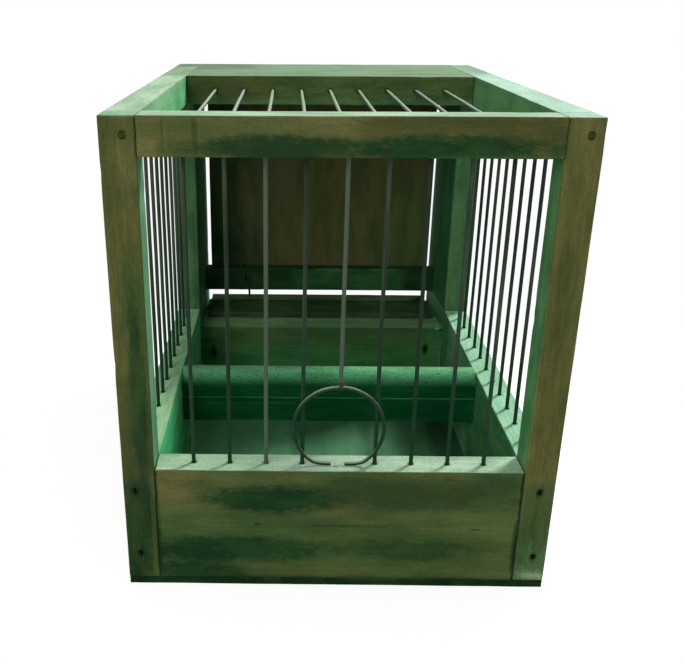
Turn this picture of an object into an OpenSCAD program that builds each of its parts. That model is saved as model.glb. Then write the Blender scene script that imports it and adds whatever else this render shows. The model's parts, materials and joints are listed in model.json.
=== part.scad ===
// Small wooden bird cage: a barred cabin in front and a closed nest box behind it.
// The origin is the middle of the underside. +X is right, +Y is the rear, +Z is up.
// Depths written as "from the front" are measured from the outer front face.

/* [Cage] */
// Width over the posts
cage_w = 200; // [190:1:240]
// Depth from the front face to the rear face
cage_d = 276; // [270:1:300]
// Height to the top of the rails
cage_h = 223; // [200:1:260]

/* [Timber] */
// Thickness of the plywood base, nest floor and door
ply_t = 4; // [3:0.5:5]
// Width of the front posts, and thickness of the side boards, side rails and walls
post_w = 15; // [14:0.5:18]
// Depth of the front posts
post_d = 15.5; // [14:0.5:16]
// Height of the top rails and the back rail
rail_h = 16.5; // [15:0.5:18]
// Depth of the front and cross rails and of the back board
rail_d = 15; // [14:0.5:16]
// Thickness of the roof board
roof_t = 12; // [10:0.5:14]
// Height of the sill above the table
sill_h = 63.5; // [60:0.5:68]

/* [Perch] */
// Middle of the perch, from the front
perch_from_front = 116; // [90:1:150]
// Width of the rounded perch cap
perch_w = 19; // [16:0.5:22]
// Height of the rounded perch cap
perch_cap_h = 15; // [13:0.5:16]
// Height of the bearer under the cap
perch_bearer_h = 15.5; // [12:0.5:16]
// Top of the perch above the table
perch_top = 64.5; // [60:0.5:68]

/* [Nest box] */
// Front face of the shelf board and nest walls, from the front
nest_from_front = 216.5; // [212:0.5:220]
// Front face of the cross rail, from the front
cross_from_front = 180.5; // [170:0.5:186]
// Thickness of the shelf board
shelf_t = 22; // [18:0.5:24]
// Height of the tops of the shelf board and back board
shelf_h = 50.7; // [46:0.1:52]
// How far the nest floor lies on the shelf board
floor_lap = 4; // [3:0.5:6]
// Gap beside the nest floor
floor_gap = 2.4; // [1.5:0.1:3]
// Gap under the back rail
back_gap = 9.3; // [7:0.1:10]
// Depth of the back rail
back_rail_d = 10; // [8:0.5:12]
// How far the inner face of the left side draws in at the rear
toe_left = 1.4; // [0:0.1:2]
// How far the inner face of the right side draws in at the rear
toe_right = 3; // [0:0.1:4]

/* [Rear door] */
// Gap on each side of the door
door_gap = 2.8; // [1.5:0.1:3.5]
// How far the door hangs inside the rear face
door_inset = 3.7; // [3:0.1:5]
// How far the door hangs down behind the back rail
door_lap = 4; // [2:0.5:8]
// Gap between the top of the door and the roof board
door_top_gap = 1.5; // [1:0.1:3]
// Pivot height below the top of the door
door_pivot_drop = 8; // [6:0.5:10]

/* [Wires] */
// Diameter of the bars
bar_d = 1.9; // [1.5:0.1:2.2]
// Spacing of the bars
bar_pitch = 16.9; // [15:0.1:17]
// How deep each bar is set in the wood
bar_depth = 6; // [4:0.5:7]
// First side bar, from the front
side_bar_from_front = 32.5; // [28:0.5:34]
// Radius of the feeding ring at the middle of its wire
ring_r = 20.8; // [18:0.05:22]
// Height of the middle of the ring above the sill
ring_up = 19.1; // [17:0.05:22]
// Place of the ring to the left of the middle
ring_left = 0.5; // [0:0.1:1]
// Half the gap between the ends of the ring
ring_end_gap = 4; // [3:0.5:5]

/* [Latch] */
// Diameter of the latch wire
latch_d = 1.6; // [1.2:0.1:1.8]
// Place of the latch to the left of the middle
latch_left = 54.6; // [40:0.2:60]
// Height of the latch pivot above the underside of the back rail
latch_up = 10.6; // [8:0.1:12]
// Length of the upper arm
latch_arm = 20.8; // [18:0.2:24]
// Lean of the upper arm to the left, in degrees
latch_lean = 16; // [0:0.2:40]
// Length of the lower arm
latch_tail = 15.5; // [12:0.1:18]

/* [Nails] */
// Diameter of the nails
nail_d = 1.6; // [1.4:0.1:1.8]
// Diameter of the nail heads
nail_head_d = 3.2; // [2.4:0.1:3.6]
// Length of the nails
nail_len = 30; // [25:1:30]

/* [Hidden] */

$fn = 32;
left = -1;
right = 1;
fit_gap = 0.05; // room round a wire or nail in its hole
turn_gap = 0.06; // room round a pivot
face_gap = 0.3; // room between faces that slide past each other
over = 1; // how far a cutting shape stands past the wood

// places across the cage
side_x = cage_w / 2;
inner_x = side_x - post_w;
side_mid_x = side_x - post_w / 2;

// places from front to rear
front_y = -cage_d / 2;
rear_y = cage_d / 2;
post_rear_y = front_y + post_d;
perch_y = front_y + perch_from_front;
nest_y = front_y + nest_from_front;
cross_y = front_y + cross_from_front;
roof_y = cross_y + rail_d;
floor_y = nest_y + shelf_t - floor_lap;
door_y = rear_y - door_inset - ply_t;
back_rail_y = door_y - face_gap - back_rail_d;
back_board_y = rear_y - rail_d;

// places from the table up
rail_z = cage_h - rail_h;
floor_z = shelf_h;
back_rail_z = floor_z + ply_t + back_gap;
door_z = back_rail_z + rail_h - door_lap;
door_top_z = cage_h - roof_t - door_top_gap;
bearer_z = perch_top - perch_cap_h - perch_bearer_h;
cap_z = perch_top - perch_cap_h;

// bars
bar_r = bar_d / 2;
front_bar_y = front_y + post_d / 2;
front_gaps = 10; // spaces between the posts
front_bars = front_gaps - 1;
ring_bar = 5; // the bar that ends on the ring
top_bar_z = cage_h - rail_h / 2;
side_bars = floor((nest_from_front - side_bar_from_front) / bar_pitch) + 1;

// ring
ring_z = sill_h + ring_up;
ring_y = front_bar_y - bar_d - fit_gap;
ring_foot_z = sill_h + bar_r;
ring_foot_x = sqrt(pow(ring_r, 2) - pow(ring_z - ring_foot_z, 2));
ring_foot_angle = atan2(ring_z - ring_foot_z, ring_foot_x);
solder_r = 2;
glue_r = 5.4;
glue_h = 1.2;

// latch and its nail
latch_r = latch_d / 2;
latch_arm_r = latch_r - fit_gap; // the arms are drawn a little thinner than the loop
latch_z = back_rail_z + latch_up;
latch_pin_r = 0.9;
latch_loop_r = latch_pin_r + turn_gap + latch_r;
latch_y = back_rail_y - face_gap - latch_r;
latch_hook = door_y - latch_y - 2 * face_gap; // the bend that reaches back over the rail
latch_tail_lean = 3;
latch_head_r = 2.2;
latch_head_t = 0.8;
latch_pin_depth = 8;

// door pivots
pivot_r = 1;
pivot_y = door_y + ply_t / 2;
pivot_z = door_top_z - door_pivot_drop;
pivot_depth = 8;

// nails
nail_r = nail_d / 2;
head_r = nail_head_d / 2;
head_t = 0.8;
nail_sink = 0.4;
block_w = 15;
block_d = 15;

// nails through the posts into the side boards and rails: [side, step from the middle, height]
post_nail_spots = [
  [left, 2.3, 215.2], [left, -2.1, 52.2], [left, -1.2, 17.6],
  [right, 2, 215.8], [right, 0.6, 53.2], [right, 1.4, 17.6]
];
// nails through the sides: [depth from the front, height]
side_nail_spots = [
  [post_d / 2, 28], [post_d / 2, 42], [rail_d / 2, rail_z + 4],
  [perch_from_front, bearer_z + perch_bearer_h / 2], [perch_from_front, cap_z + 4],
  [nest_from_front + shelf_t / 2, 20], [nest_from_front + shelf_t / 2, 42],
  [cage_d - rail_d / 2, 20], [cage_d - rail_d / 2, 42],
  [back_rail_y - front_y + back_rail_d / 2, back_rail_z + rail_h / 2],
  [cross_from_front + rail_d / 2, cage_h - rail_h / 2], [cage_d - 40, cage_h - roof_t / 2]
];
// nails through the base: [distance from the middle, depth from the front]
base_nail_spots = [
  [-side_mid_x, 60], [-side_mid_x, 140], [-side_mid_x, 205], [-45, post_d / 2],
  [side_mid_x, 60], [side_mid_x, 140], [side_mid_x, 205], [45, post_d / 2]
];
// nails through the shelf board into the blocks: [distance from the middle, height]
shelf_nail_spots = [[-76, 31.2], [73.6, 34.8]];

// stained fir outside, green stain inside, bare plywood for the door
olive = [0.42, 0.42, 0.24];
mint = [0.55, 0.75, 0.58];
leaf = [0.16, 0.42, 0.26];
bare_ply = [0.33, 0.27, 0.18];
steel = [0.36, 0.37, 0.36];
rust = [0.36, 0.2, 0.12];
chalk = [0.8, 0.82, 0.78];
iron = [0.16, 0.16, 0.14];

// a straight piece of timber between two opposite corners
module timber(low, high) {
  translate(low) cube(high - low);
}

// distance from the middle to the inner face of a side at a depth
function inner_at(side, y) =
  inner_x - (side == left ? toe_left : toe_right) * max(0, y - nest_y) / (rear_y - nest_y);

// a timber of one side, whose inner face draws in behind the front of the nest box
module side_timber(side, start_y, low_z, high_z) {
  translate([0, 0, low_z]) linear_extrude(height = high_z - low_z) polygon(concat([
    [side * side_x, start_y], [side * side_x, rear_y],
    [side * inner_at(side, rear_y), rear_y], [side * inner_x, nest_y]
  ], start_y < nest_y ? [[side * inner_x, start_y]] : []));
}

// a timber between the two sides of the nest box
module nest_timber(start_y, end_y, low_z, high_z) {
  translate([0, 0, low_z]) linear_extrude(height = high_z - low_z) polygon([
    [-inner_at(left, start_y), start_y], [inner_at(right, start_y), start_y],
    [inner_at(right, end_y), end_y], [-inner_at(left, end_y), end_y]
  ]);
}

// a nail that points along +Z, with its head just under the surface at z = 0
module nail() {
  translate([0, 0, nail_sink]) cylinder(h = nail_len - nail_sink, r = nail_r);
  translate([0, 0, nail_sink]) cylinder(h = head_t, r = head_r);
}

// the hole that the nail makes
module nail_hole() {
  cylinder(h = nail_len + fit_gap, r = nail_r + fit_gap);
  translate([0, 0, -over]) cylinder(h = over + nail_sink + head_t, r = head_r + fit_gap);
}

// children along +Y from the front of each post
module at_post_nails() {
  for (spot = post_nail_spots)
    translate([spot[0] * side_mid_x + spot[1], front_y, spot[2]]) rotate([-90, 0, 0]) children();
}

// children pointing inwards from one side
module at_side_nails(side) {
  for (spot = side_nail_spots)
    translate([side * side_x, front_y + spot[0], spot[1]]) rotate([0, -side * 90, 0]) children();
}

// children pointing up from the underside
module at_base_nails() {
  for (spot = base_nail_spots) translate([spot[0], front_y + spot[1], 0]) children();
}

// children along +Y from the face of the shelf board
module at_shelf_nails() {
  for (spot = shelf_nail_spots) translate([spot[0], nest_y, spot[1]]) rotate([-90, 0, 0]) children();
}

// all nail holes that reach the side timbers
module side_nail_holes() {
  at_side_nails(left) nail_hole();
  at_side_nails(right) nail_hole();
}

// one front bar, or its hole when it is fatter
module front_upright(number, r) {
  foot_z = number == ring_bar ? ring_z + ring_r : sill_h - bar_depth;
  translate([(number - ring_bar) * bar_pitch, front_bar_y, foot_z])
    cylinder(h = rail_z + bar_depth - foot_z, r = r);
}

module front_bar_holes() {
  for (number = [1:front_bars]) front_upright(number, bar_r + fit_gap);
}

// one top bar, from the front rail to the cross rail
module top_bar_rod(number, r) {
  start_y = front_y + rail_d - bar_depth;
  translate([(number - ring_bar) * bar_pitch, start_y, top_bar_z]) rotate([-90, 0, 0])
    cylinder(h = cross_y + bar_depth - start_y, r = r);
}

module top_bar_holes() {
  for (number = [1:front_bars]) top_bar_rod(number, bar_r + fit_gap);
}

// the row of bars on one side
module side_rods(side, r) {
  for (number = [0:side_bars - 1])
    translate([side * side_mid_x, front_y + side_bar_from_front + number * bar_pitch, sill_h - bar_depth])
      cylinder(h = rail_z - sill_h + 2 * bar_depth, r = r);
}

// a round rod along +X on the line of a door pivot
module pivot_rod(side, r, start_x, end_x) {
  translate([side * start_x, pivot_y, pivot_z]) rotate([0, side * 90, 0])
    cylinder(h = end_x - start_x, r = r);
}

module base_panel() {
  color(leaf) difference() {
    timber([-side_x, front_y, 0], [side_x, rear_y, ply_t]);
    at_base_nails() nail_hole();
  }
}

module front_post(side) {
  near_x = side * side_x;
  color(olive) difference() {
    timber([min(near_x, side * inner_x), front_y, ply_t], [max(near_x, side * inner_x), post_rear_y, cage_h]);
    at_post_nails() nail_hole();
    at_side_nails(side) nail_hole();
  }
}

module front_board() {
  color(olive) difference() {
    timber([-inner_x, front_y, ply_t], [inner_x, post_rear_y, sill_h]);
    front_bar_holes();
    side_nail_holes();
    at_base_nails() nail_hole();
  }
}

module side_board(side) {
  color(mint) difference() {
    side_timber(side, post_rear_y, ply_t, sill_h);
    side_rods(side, bar_r + fit_gap);
    at_post_nails() nail_hole();
    at_side_nails(side) nail_hole();
    at_base_nails() nail_hole();
  }
}

module front_top_rail() {
  color(olive) difference() {
    timber([-inner_x, front_y, rail_z], [inner_x, front_y + rail_d, cage_h]);
    front_bar_holes();
    top_bar_holes();
    side_nail_holes();
  }
}

module side_top_rail(side) {
  near_x = side * side_x;
  color(mint) difference() {
    timber([min(near_x, side * inner_x), post_rear_y, rail_z], [max(near_x, side * inner_x), rear_y, cage_h]);
    side_rods(side, bar_r + fit_gap);
    at_post_nails() nail_hole();
    at_side_nails(side) nail_hole();
  }
}

module cross_rail() {
  color(olive) difference() {
    timber([-inner_x, cross_y, rail_z], [inner_x, roof_y, cage_h]);
    top_bar_holes();
    side_nail_holes();
  }
}

module roof_board() {
  color(mint) difference() {
    timber([-inner_x, roof_y, cage_h - roof_t], [inner_x, rear_y, cage_h]);
    side_nail_holes();
  }
}

module nest_wall(side) {
  color(leaf) difference() {
    side_timber(side, nest_y, sill_h, rail_z);
    at_side_nails(side) nail_hole();
    pivot_rod(side, pivot_r + fit_gap, inner_at(side, rear_y) - over, side_x + over);
  }
}

// a rail with a round top, which the birds stand on
module perch_cap() {
  round_r = perch_w / 2;
  color(mint) difference() {
    union() {
      timber([-inner_x, perch_y - round_r, cap_z], [inner_x, perch_y + round_r, perch_top - round_r]);
      translate([-inner_x, perch_y, perch_top - round_r]) rotate([0, 90, 0])
        cylinder(h = 2 * inner_x, r = round_r, $fn = 64);
    }
    timber([-side_x, perch_y - perch_w, cap_z - perch_w], [side_x, perch_y + perch_w, cap_z]);
    side_nail_holes();
  }
}

module perch_bearer() {
  front = perch_y - perch_w / 2;
  color(leaf) difference() {
    timber([-inner_x, front, bearer_z], [inner_x, front + rail_d, cap_z]);
    side_nail_holes();
  }
}

module shelf_board() {
  color(leaf) difference() {
    nest_timber(nest_y, nest_y + shelf_t, ply_t, shelf_h);
    side_nail_holes();
    at_shelf_nails() nail_hole();
  }
}

module back_board() {
  color(leaf) difference() {
    nest_timber(back_board_y, rear_y, ply_t, shelf_h);
    side_nail_holes();
  }
}

module back_rail() {
  color(leaf) difference() {
    nest_timber(back_rail_y, back_rail_y + back_rail_d, back_rail_z, back_rail_z + rail_h);
    side_nail_holes();
    latch_pin(latch_pin_r + fit_gap);
  }
}

// a block in the corner behind the shelf board, which takes its nail
module shelf_block(side) {
  far_x = side * (inner_x - block_w);
  start_y = nest_y + shelf_t;
  end_y = start_y + block_d;
  color(leaf) difference() {
    translate([0, 0, ply_t]) linear_extrude(height = shelf_h - ply_t) polygon([
      [side * inner_at(side, start_y), start_y], [side * inner_at(side, end_y), end_y],
      [far_x, end_y], [far_x, start_y]
    ]);
    at_shelf_nails() nail_hole();
  }
}

// loose floor of the nest box, which slides out under the back rail
module nest_floor() {
  left_x = floor_gap - inner_at(left, rear_y);
  right_x = inner_at(right, rear_y) - floor_gap;
  color(bare_ply) timber([left_x, floor_y, floor_z], [right_x, rear_y, floor_z + ply_t]);
}

// distance from the middle to one edge of the door
function door_half(side) = inner_at(side, rear_y) - door_gap;

// door that hangs on two nails near its top
module rear_door() {
  color(bare_ply) difference() {
    timber([-door_half(left), door_y, door_z], [door_half(right), door_y + ply_t, door_top_z]);
    for (side = [left, right])
      pivot_rod(side, pivot_r + turn_gap, door_half(side) - pivot_depth - turn_gap, door_half(side) + over);
  }
}

module door_pivot_nails() {
  color(iron) for (side = [left, right])
    pivot_rod(side, pivot_r, door_half(side) - pivot_depth + turn_gap, side_x - nail_sink);
}

// the shank of the latch nail, or its hole when it is fatter
module latch_pin(r) {
  start_y = latch_y - latch_r - face_gap;
  translate([-latch_left, start_y, latch_z]) rotate([-90, 0, 0])
    cylinder(h = back_rail_y + latch_pin_depth - start_y, r = r);
}

module latch_nail() {
  head_y = latch_y - latch_r - face_gap - latch_head_t;
  color(iron) {
    latch_pin(latch_pin_r);
    translate([-latch_left, head_y, latch_z]) rotate([-90, 0, 0])
      cylinder(h = latch_head_t, r = latch_head_r);
  }
}

// a wire with a loop round the latch nail, an arm with a hooked end and a straight tail
module wire_latch() {
  color(steel) translate([-latch_left, latch_y, latch_z]) {
    rotate([90, 0, 0]) rotate_extrude($fn = 48) translate([latch_loop_r, 0]) circle(r = latch_r);
    rotate([0, -latch_lean, 0]) translate([-latch_loop_r, 0, 0]) {
      cylinder(h = latch_arm, r = latch_arm_r);
      translate([0, 0, latch_arm]) sphere(r = latch_arm_r);
      translate([0, 0, latch_arm]) rotate([-90, 0, 0]) cylinder(h = latch_hook, r = latch_arm_r);
    }
    rotate([0, -latch_tail_lean, 0]) translate([latch_loop_r, 0, -latch_tail])
      cylinder(h = latch_tail, r = latch_arm_r);
  }
}

// the wire of the ring, open at the foot, where both ends lie along the sill
module ring_wire(r) {
  translate([-ring_left, ring_y, ring_z]) rotate([90, 0, 0]) rotate(-ring_foot_angle)
    rotate_extrude(angle = 180 + 2 * ring_foot_angle, $fn = 96) translate([ring_r, 0]) circle(r = r);
  for (side = [left, right]) {
    translate([side * ring_foot_x - ring_left, ring_y, ring_foot_z]) sphere(r = r);
    translate([side * ring_end_gap - ring_left, ring_y, ring_foot_z]) rotate([0, side * 90, 0])
      cylinder(h = ring_foot_x - ring_end_gap, r = r);
  }
}

module feeding_ring() {
  color(steel) ring_wire(bar_r);
}

// a bead that joins the ring to the middle bar
module ring_solder() {
  color(rust) difference() {
    translate([0, (ring_y + front_bar_y) / 2, ring_z + ring_r]) sphere(r = solder_r);
    ring_wire(bar_r + fit_gap);
    front_upright(ring_bar, bar_r + fit_gap);
  }
}

// a low dab of glue on the sill that holds the ends of the ring
module ring_glue() {
  dome_r = (pow(glue_r, 2) + pow(glue_h, 2)) / (2 * glue_h);
  color(chalk) difference() {
    intersection() {
      translate([-ring_left, ring_y, sill_h + glue_h - dome_r]) sphere(r = dome_r, $fn = 64);
      translate([-ring_left, ring_y, sill_h]) cylinder(h = glue_h, r = glue_r);
      timber([-glue_r - over, front_y + face_gap, sill_h], [glue_r, front_y + post_d, sill_h + glue_h]);
    }
    ring_wire(bar_r + fit_gap);
  }
}

module front_bar(number) {
  color(steel) front_upright(number, bar_r);
}

module top_bar(number) {
  color(steel) top_bar_rod(number, bar_r);
}

module side_bar_row(side) {
  color(steel) side_rods(side, bar_r);
}

module post_nails() {
  color(iron) at_post_nails() nail();
}

module side_nails(side) {
  color(iron) at_side_nails(side) nail();
}

module base_nails() {
  color(iron) at_base_nails() nail();
}

module shelf_nails() {
  color(iron) at_shelf_nails() nail();
}

base_panel();
front_post(left);  // front_post_left
front_post(right);  // front_post_right
front_board();
side_board(left);  // side_board_left
side_board(right);  // side_board_right
front_top_rail();
side_top_rail(left);  // side_top_rail_left
side_top_rail(right);  // side_top_rail_right
cross_rail();
roof_board();
nest_wall(left);  // nest_wall_left
nest_wall(right);  // nest_wall_right
perch_cap();
perch_bearer();
shelf_board();
back_board();
back_rail();
shelf_block(left);  // shelf_block_left
shelf_block(right);  // shelf_block_right
nest_floor();
rear_door();
wire_latch();
latch_nail();
door_pivot_nails();
feeding_ring();
ring_solder();
ring_glue();
for (number = [1:front_bars]) {
  front_bar(number);
  top_bar(number);
}
side_bar_row(left);  // side_bars_left
side_bar_row(right);  // side_bars_right
post_nails();
side_nails(left);  // side_nails_left
side_nails(right);  // side_nails_right
base_nails();
shelf_nails();
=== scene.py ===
import json
import math
import random

import bpy
import numpy as np
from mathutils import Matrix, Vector
from mathutils import noise as fieldNoise


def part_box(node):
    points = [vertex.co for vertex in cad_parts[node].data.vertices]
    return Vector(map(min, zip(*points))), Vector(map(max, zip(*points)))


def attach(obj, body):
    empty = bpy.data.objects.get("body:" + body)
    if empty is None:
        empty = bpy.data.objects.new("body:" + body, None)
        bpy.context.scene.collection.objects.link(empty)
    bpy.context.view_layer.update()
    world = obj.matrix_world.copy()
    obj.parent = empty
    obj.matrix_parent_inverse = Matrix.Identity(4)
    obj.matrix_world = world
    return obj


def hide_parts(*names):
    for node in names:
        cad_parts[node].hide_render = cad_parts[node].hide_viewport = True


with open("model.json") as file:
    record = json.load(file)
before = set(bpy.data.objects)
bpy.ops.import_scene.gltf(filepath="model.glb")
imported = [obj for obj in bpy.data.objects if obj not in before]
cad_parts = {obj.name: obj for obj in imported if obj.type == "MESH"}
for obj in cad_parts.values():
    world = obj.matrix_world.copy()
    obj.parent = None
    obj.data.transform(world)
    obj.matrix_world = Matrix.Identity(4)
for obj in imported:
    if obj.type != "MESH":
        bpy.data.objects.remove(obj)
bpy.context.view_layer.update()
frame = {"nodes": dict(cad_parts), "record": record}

nodes = frame["nodes"]
mm = 0.001
scene = bpy.context.scene
print("frame loaded:", len(nodes), "nodes")

# camera and lamps, in metres

camera = {
    "place": (-0.02496, -0.47705, 0.26588),
    "turn": (1.195239, -0.003302, 0.0122336),  # radians
    "lens": 44.575,  # mm, as is the sensor
    "sensor": 36,
    "shift": 0.0952,
    "nearest": 0.01,
}
lamps = {
    "window": {"place": (1.55, 1.35, 2.15), "size": 0.55, "power": 96, "tint": (1.0, 0.99, 0.97)},
    "frontFill": {"place": (-0.75, -1.75, 1.45), "size": 1.5, "power": 30, "tint": (1.0, 0.99, 0.96)},
}
lampAim = Vector((0, 0, 0.11))


def makeCamera():
    data = bpy.data.cameras.new("camera")
    data.sensor_width = camera["sensor"]
    data.lens = camera["lens"]
    data.shift_x = camera["shift"]
    data.clip_start = camera["nearest"]
    item = sourceOf("camera", data)
    item.location = camera["place"]
    item.rotation_euler = camera["turn"]
    scene.camera = item


def makeLamps():
    for name, lamp in lamps.items():
        data = bpy.data.lights.new(name, "AREA")
        data.size = lamp["size"]
        data.energy = lamp["power"]
        data.color = lamp["tint"]
        item = sourceOf(name, data)
        item.location = lamp["place"]
        item.rotation_euler = (lampAim - item.location).to_track_quat("-Z", "Y").to_euler()


# node trees


class Socket:  # one output of a node, which Python arithmetic works on
    def __init__(self, net, socket):
        self.net = net
        self.socket = socket

    def math(self, operation, *others):
        return self.net.math(operation, self, *others)

    def __add__(self, other):
        return self.net.math("ADD", self, other)

    def __sub__(self, other):
        return self.net.math("SUBTRACT", self, other)

    def __mul__(self, other):
        return self.net.math("MULTIPLY", self, other)

    def __truediv__(self, other):
        return self.net.math("DIVIDE", self, other)

    def __rsub__(self, other):
        return self.net.math("SUBTRACT", other, self)

    def __rtruediv__(self, other):
        return self.net.math("DIVIDE", other, self)

    __radd__ = __add__
    __rmul__ = __mul__


class Net:  # a shader or geometry tree while it is being built
    def __init__(self, tree):
        self.tree = tree
        tree.nodes.clear()

    def add(self, kind, settings=None, values=None, output=0):
        node = self.tree.nodes.new(kind)
        for name, value in (settings or {}).items():
            setattr(node, name, value)
        for name, value in (values or {}).items():
            if isinstance(value, Socket):
                self.tree.links.new(value.socket, node.inputs[name])
            else:
                node.inputs[name].default_value = value
        return Socket(self, node.outputs[output]) if len(node.outputs) else node

    def math(self, operation, *values):
        return self.add("ShaderNodeMath", {"operation": operation}, dict(enumerate(values)))

    def vector(self, operation, *values, output=0):
        return self.add("ShaderNodeVectorMath", {"operation": operation}, dict(enumerate(values)), output)

    def scale(self, value, amount):
        return self.add("ShaderNodeVectorMath", {"operation": "SCALE"}, {0: value, 3: amount})

    def length(self, value):
        return self.vector("LENGTH", value, output=1)

    def split(self, value):
        return [self.add("ShaderNodeSeparateXYZ", {}, {0: value}, axis) for axis in range(3)]

    def mix(self, amount, low, high):
        return self.add("ShaderNodeMix", {"data_type": "RGBA"}, {0: amount, 6: low, 7: high}, 2)

    def ease(self, value, low, high):
        values = {"Value": value, "From Min": low, "From Max": high}
        return self.add("ShaderNodeMapRange", {"interpolation_type": "SMOOTHSTEP"}, values)

    def cloud(self, place, scale, detail, rough, output=0):
        values = {"Vector": place, "Scale": scale, "Detail": detail, "Roughness": rough}
        return self.add("ShaderNodeTexNoise", {}, values, output)

    def drift(self, place, *settings):  # a cloud of vectors round zero
        return self.vector("SUBTRACT", self.cloud(place, *settings, 1), (0.5, 0.5, 0.5))

    def blotches(self, place, scale, detail, rough, low, high):  # a cloud, 0 up to low and 1 from high
        return self.ease(self.cloud(place, scale, detail, rough), low, high)

    def place(self):  # where a point is on the object, in mm
        return self.scale(self.add("ShaderNodeTexCoord", output=3), 1 / mm)

    def seen(self):  # 1 for what the camera, a gloss or a clear surface shows, 0 for light on the object
        rays = self.add("ShaderNodeLightPath")
        given = rays.socket.node.outputs
        rays = rays.math("MAXIMUM", Socket(self, given["Is Glossy Ray"]))
        return rays.math("MAXIMUM", Socket(self, given["Is Transmission Ray"]))


def shaderNet(name):
    material = bpy.data.materials.new(name)
    material.use_nodes = True
    net = Net(material.node_tree)
    net.material = material
    return net


def closeShader(net, colour, roughness, normal, gloss, metallic=0.0):
    surface = net.add("ShaderNodeBsdfPrincipled", {}, {
        "Base Color": colour, "Roughness": roughness, "Metallic": metallic, "Specular IOR Level": gloss,
        "Normal": normal})
    net.add("ShaderNodeOutputMaterial", {}, {"Surface": surface})
    return net.material


def bumped(net, height, strength, depth):  # depth in mm
    return net.add("ShaderNodeBump", {}, {"Strength": strength, "Distance": depth * mm, "Height": height})


def geometryNet(name, inputs):
    tree = bpy.data.node_groups.new(name, "GeometryNodeTree")
    tree.interface.new_socket("Geometry", in_out="INPUT", socket_type="NodeSocketGeometry")
    for label, kind in inputs.items():
        tree.interface.new_socket(label, in_out="INPUT", socket_type="NodeSocket" + kind)
    tree.interface.new_socket("Geometry", in_out="OUTPUT", socket_type="NodeSocketGeometry")
    net = Net(tree)
    start = tree.nodes.new("NodeGroupInput")
    net.given = {socket.name: Socket(net, socket) for socket in start.outputs if socket.name}
    return net


def closeGeometry(net, shape):
    shape = net.add("GeometryNodeRealizeInstances", {}, {"Geometry": shape})
    shape = net.add("GeometryNodeSetMaterial", {}, {"Geometry": shape, "Material": net.given["Finish"]})
    net.add("NodeGroupOutput", {}, {"Geometry": shape})
    return net.tree


def grow(source, tree, **inputs):
    modifier = source.modifiers.new(tree.name, "NODES")
    modifier.node_group = tree
    for item in tree.interface.items_tree:
        if item.in_out == "INPUT" and item.name in inputs:
            modifier[item.identifier] = inputs[item.name]


# meshes

sharpFrom = 40  # degrees between two faces
latheWave = 0.9  # lumps in a mm of a turned shape


def onAxis(axis, value, others=0.0):  # a vector with one value along an axis and another across it
    return tuple(float(value if k == axis else others) for k in range(3))


def meshOf(name, points, faces=(), finish=None):
    mesh = bpy.data.meshes.new(name)
    mesh.from_pydata([tuple(point) for point in points], [], faces)
    if finish:
        mesh.materials.append(finish)
    return mesh


def sourceOf(name, data):
    source = bpy.data.objects.new(name, data)
    scene.collection.objects.link(source)
    return source


def bakedMesh(source):  # the evaluated mesh of an object, which is then removed
    bpy.context.view_layer.update()
    graph = bpy.context.evaluated_depsgraph_get()
    mesh = bpy.data.meshes.new_from_object(source.evaluated_get(graph))
    bpy.data.objects.remove(source)
    return mesh


def pointsOf(mesh):
    points = np.empty(len(mesh.vertices) * 3)
    mesh.vertices.foreach_get("co", points)
    return points.reshape(-1, 3)


def signedVolume(mesh):
    mesh.calc_loop_triangles()
    corners = np.empty(len(mesh.loop_triangles) * 3, int)
    mesh.loop_triangles.foreach_get("vertices", corners)
    a, b, c = (pointsOf(mesh)[corners[k::3]] for k in range(3))
    return float((a * np.cross(b, c)).sum()) / 6


def keep(name, mesh, body, slot, replaced):
    if signedVolume(mesh) < 0:
        mesh.flip_normals()
    mesh.shade_smooth()
    mesh.set_sharp_from_angle(angle=math.radians(sharpFrom))
    mesh.name = name
    piece = sourceOf(name, mesh)
    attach(piece, body)
    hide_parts(*replaced)


def looseParts(node):  # the box of each loose part of a CAD node, in mm
    mesh = nodes[node].data
    unique, back = np.unique(pointsOf(mesh).round(6), axis=0, return_inverse=True)
    group = np.arange(len(unique))
    corners = [[int(back[v]) for v in polygon.vertices] for polygon in mesh.polygons]

    def root(item):
        while group[item] != item:
            group[item] = group[group[item]]
            item = group[item]
        return item

    for face in corners:
        for other in face[1:]:
            group[root(face[0])] = root(other)
    roots = np.array([root(item) for item in range(len(unique))])
    parts = [unique[roots == item] / mm for item in sorted(set(roots.tolist()))]
    return [(part.min(0), part.max(0)) for part in parts]


def boxOf(node):
    low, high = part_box(node)
    return np.array(low) / mm, np.array(high) / mm


def middleOf(node):
    return sum(boxOf(node)) / 2


def loft(name, rings, finish=None):  # closed skin through rings of points in mm, with a fan at each end
    count = len(rings[0])
    points = [point for ring in rings for point in ring]
    faces = []
    for row in range(len(rings) - 1):
        for k in range(count):
            a, b = row * count + k, row * count + (k + 1) % count
            faces.append((a, b, b + count, a + count))
    for row, turn in ((0, -1), (len(rings) - 1, 1)):
        centre = len(points)
        points.append(np.mean(rings[row], axis=0))
        for k in range(count):
            corners = (row * count + k, row * count + (k + 1) % count, centre)
            faces.append(corners[::turn])
    return meshOf(name, np.array(points) * mm, faces, finish)


def lathe(name, profile, look, finish=None):  # profile: (radius, height) in mm
    shift = Vector((look["seed"], look["seed"], 0))
    rings = []
    for radius, height in profile:
        ring = []
        for k in range(look["sides"]):
            angle = 2 * math.pi * k / look["sides"]
            point = Vector((radius * math.cos(angle), radius * math.sin(angle), height))
            swell = 1 + look["lumps"] * fieldNoise.noise(point * latheWave + shift)
            ring.append((point.x * swell, point.y * swell, point.z))
        rings.append(ring)
    return loft(name, rings, finish)


# trees that repeat a shape or follow a path

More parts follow.
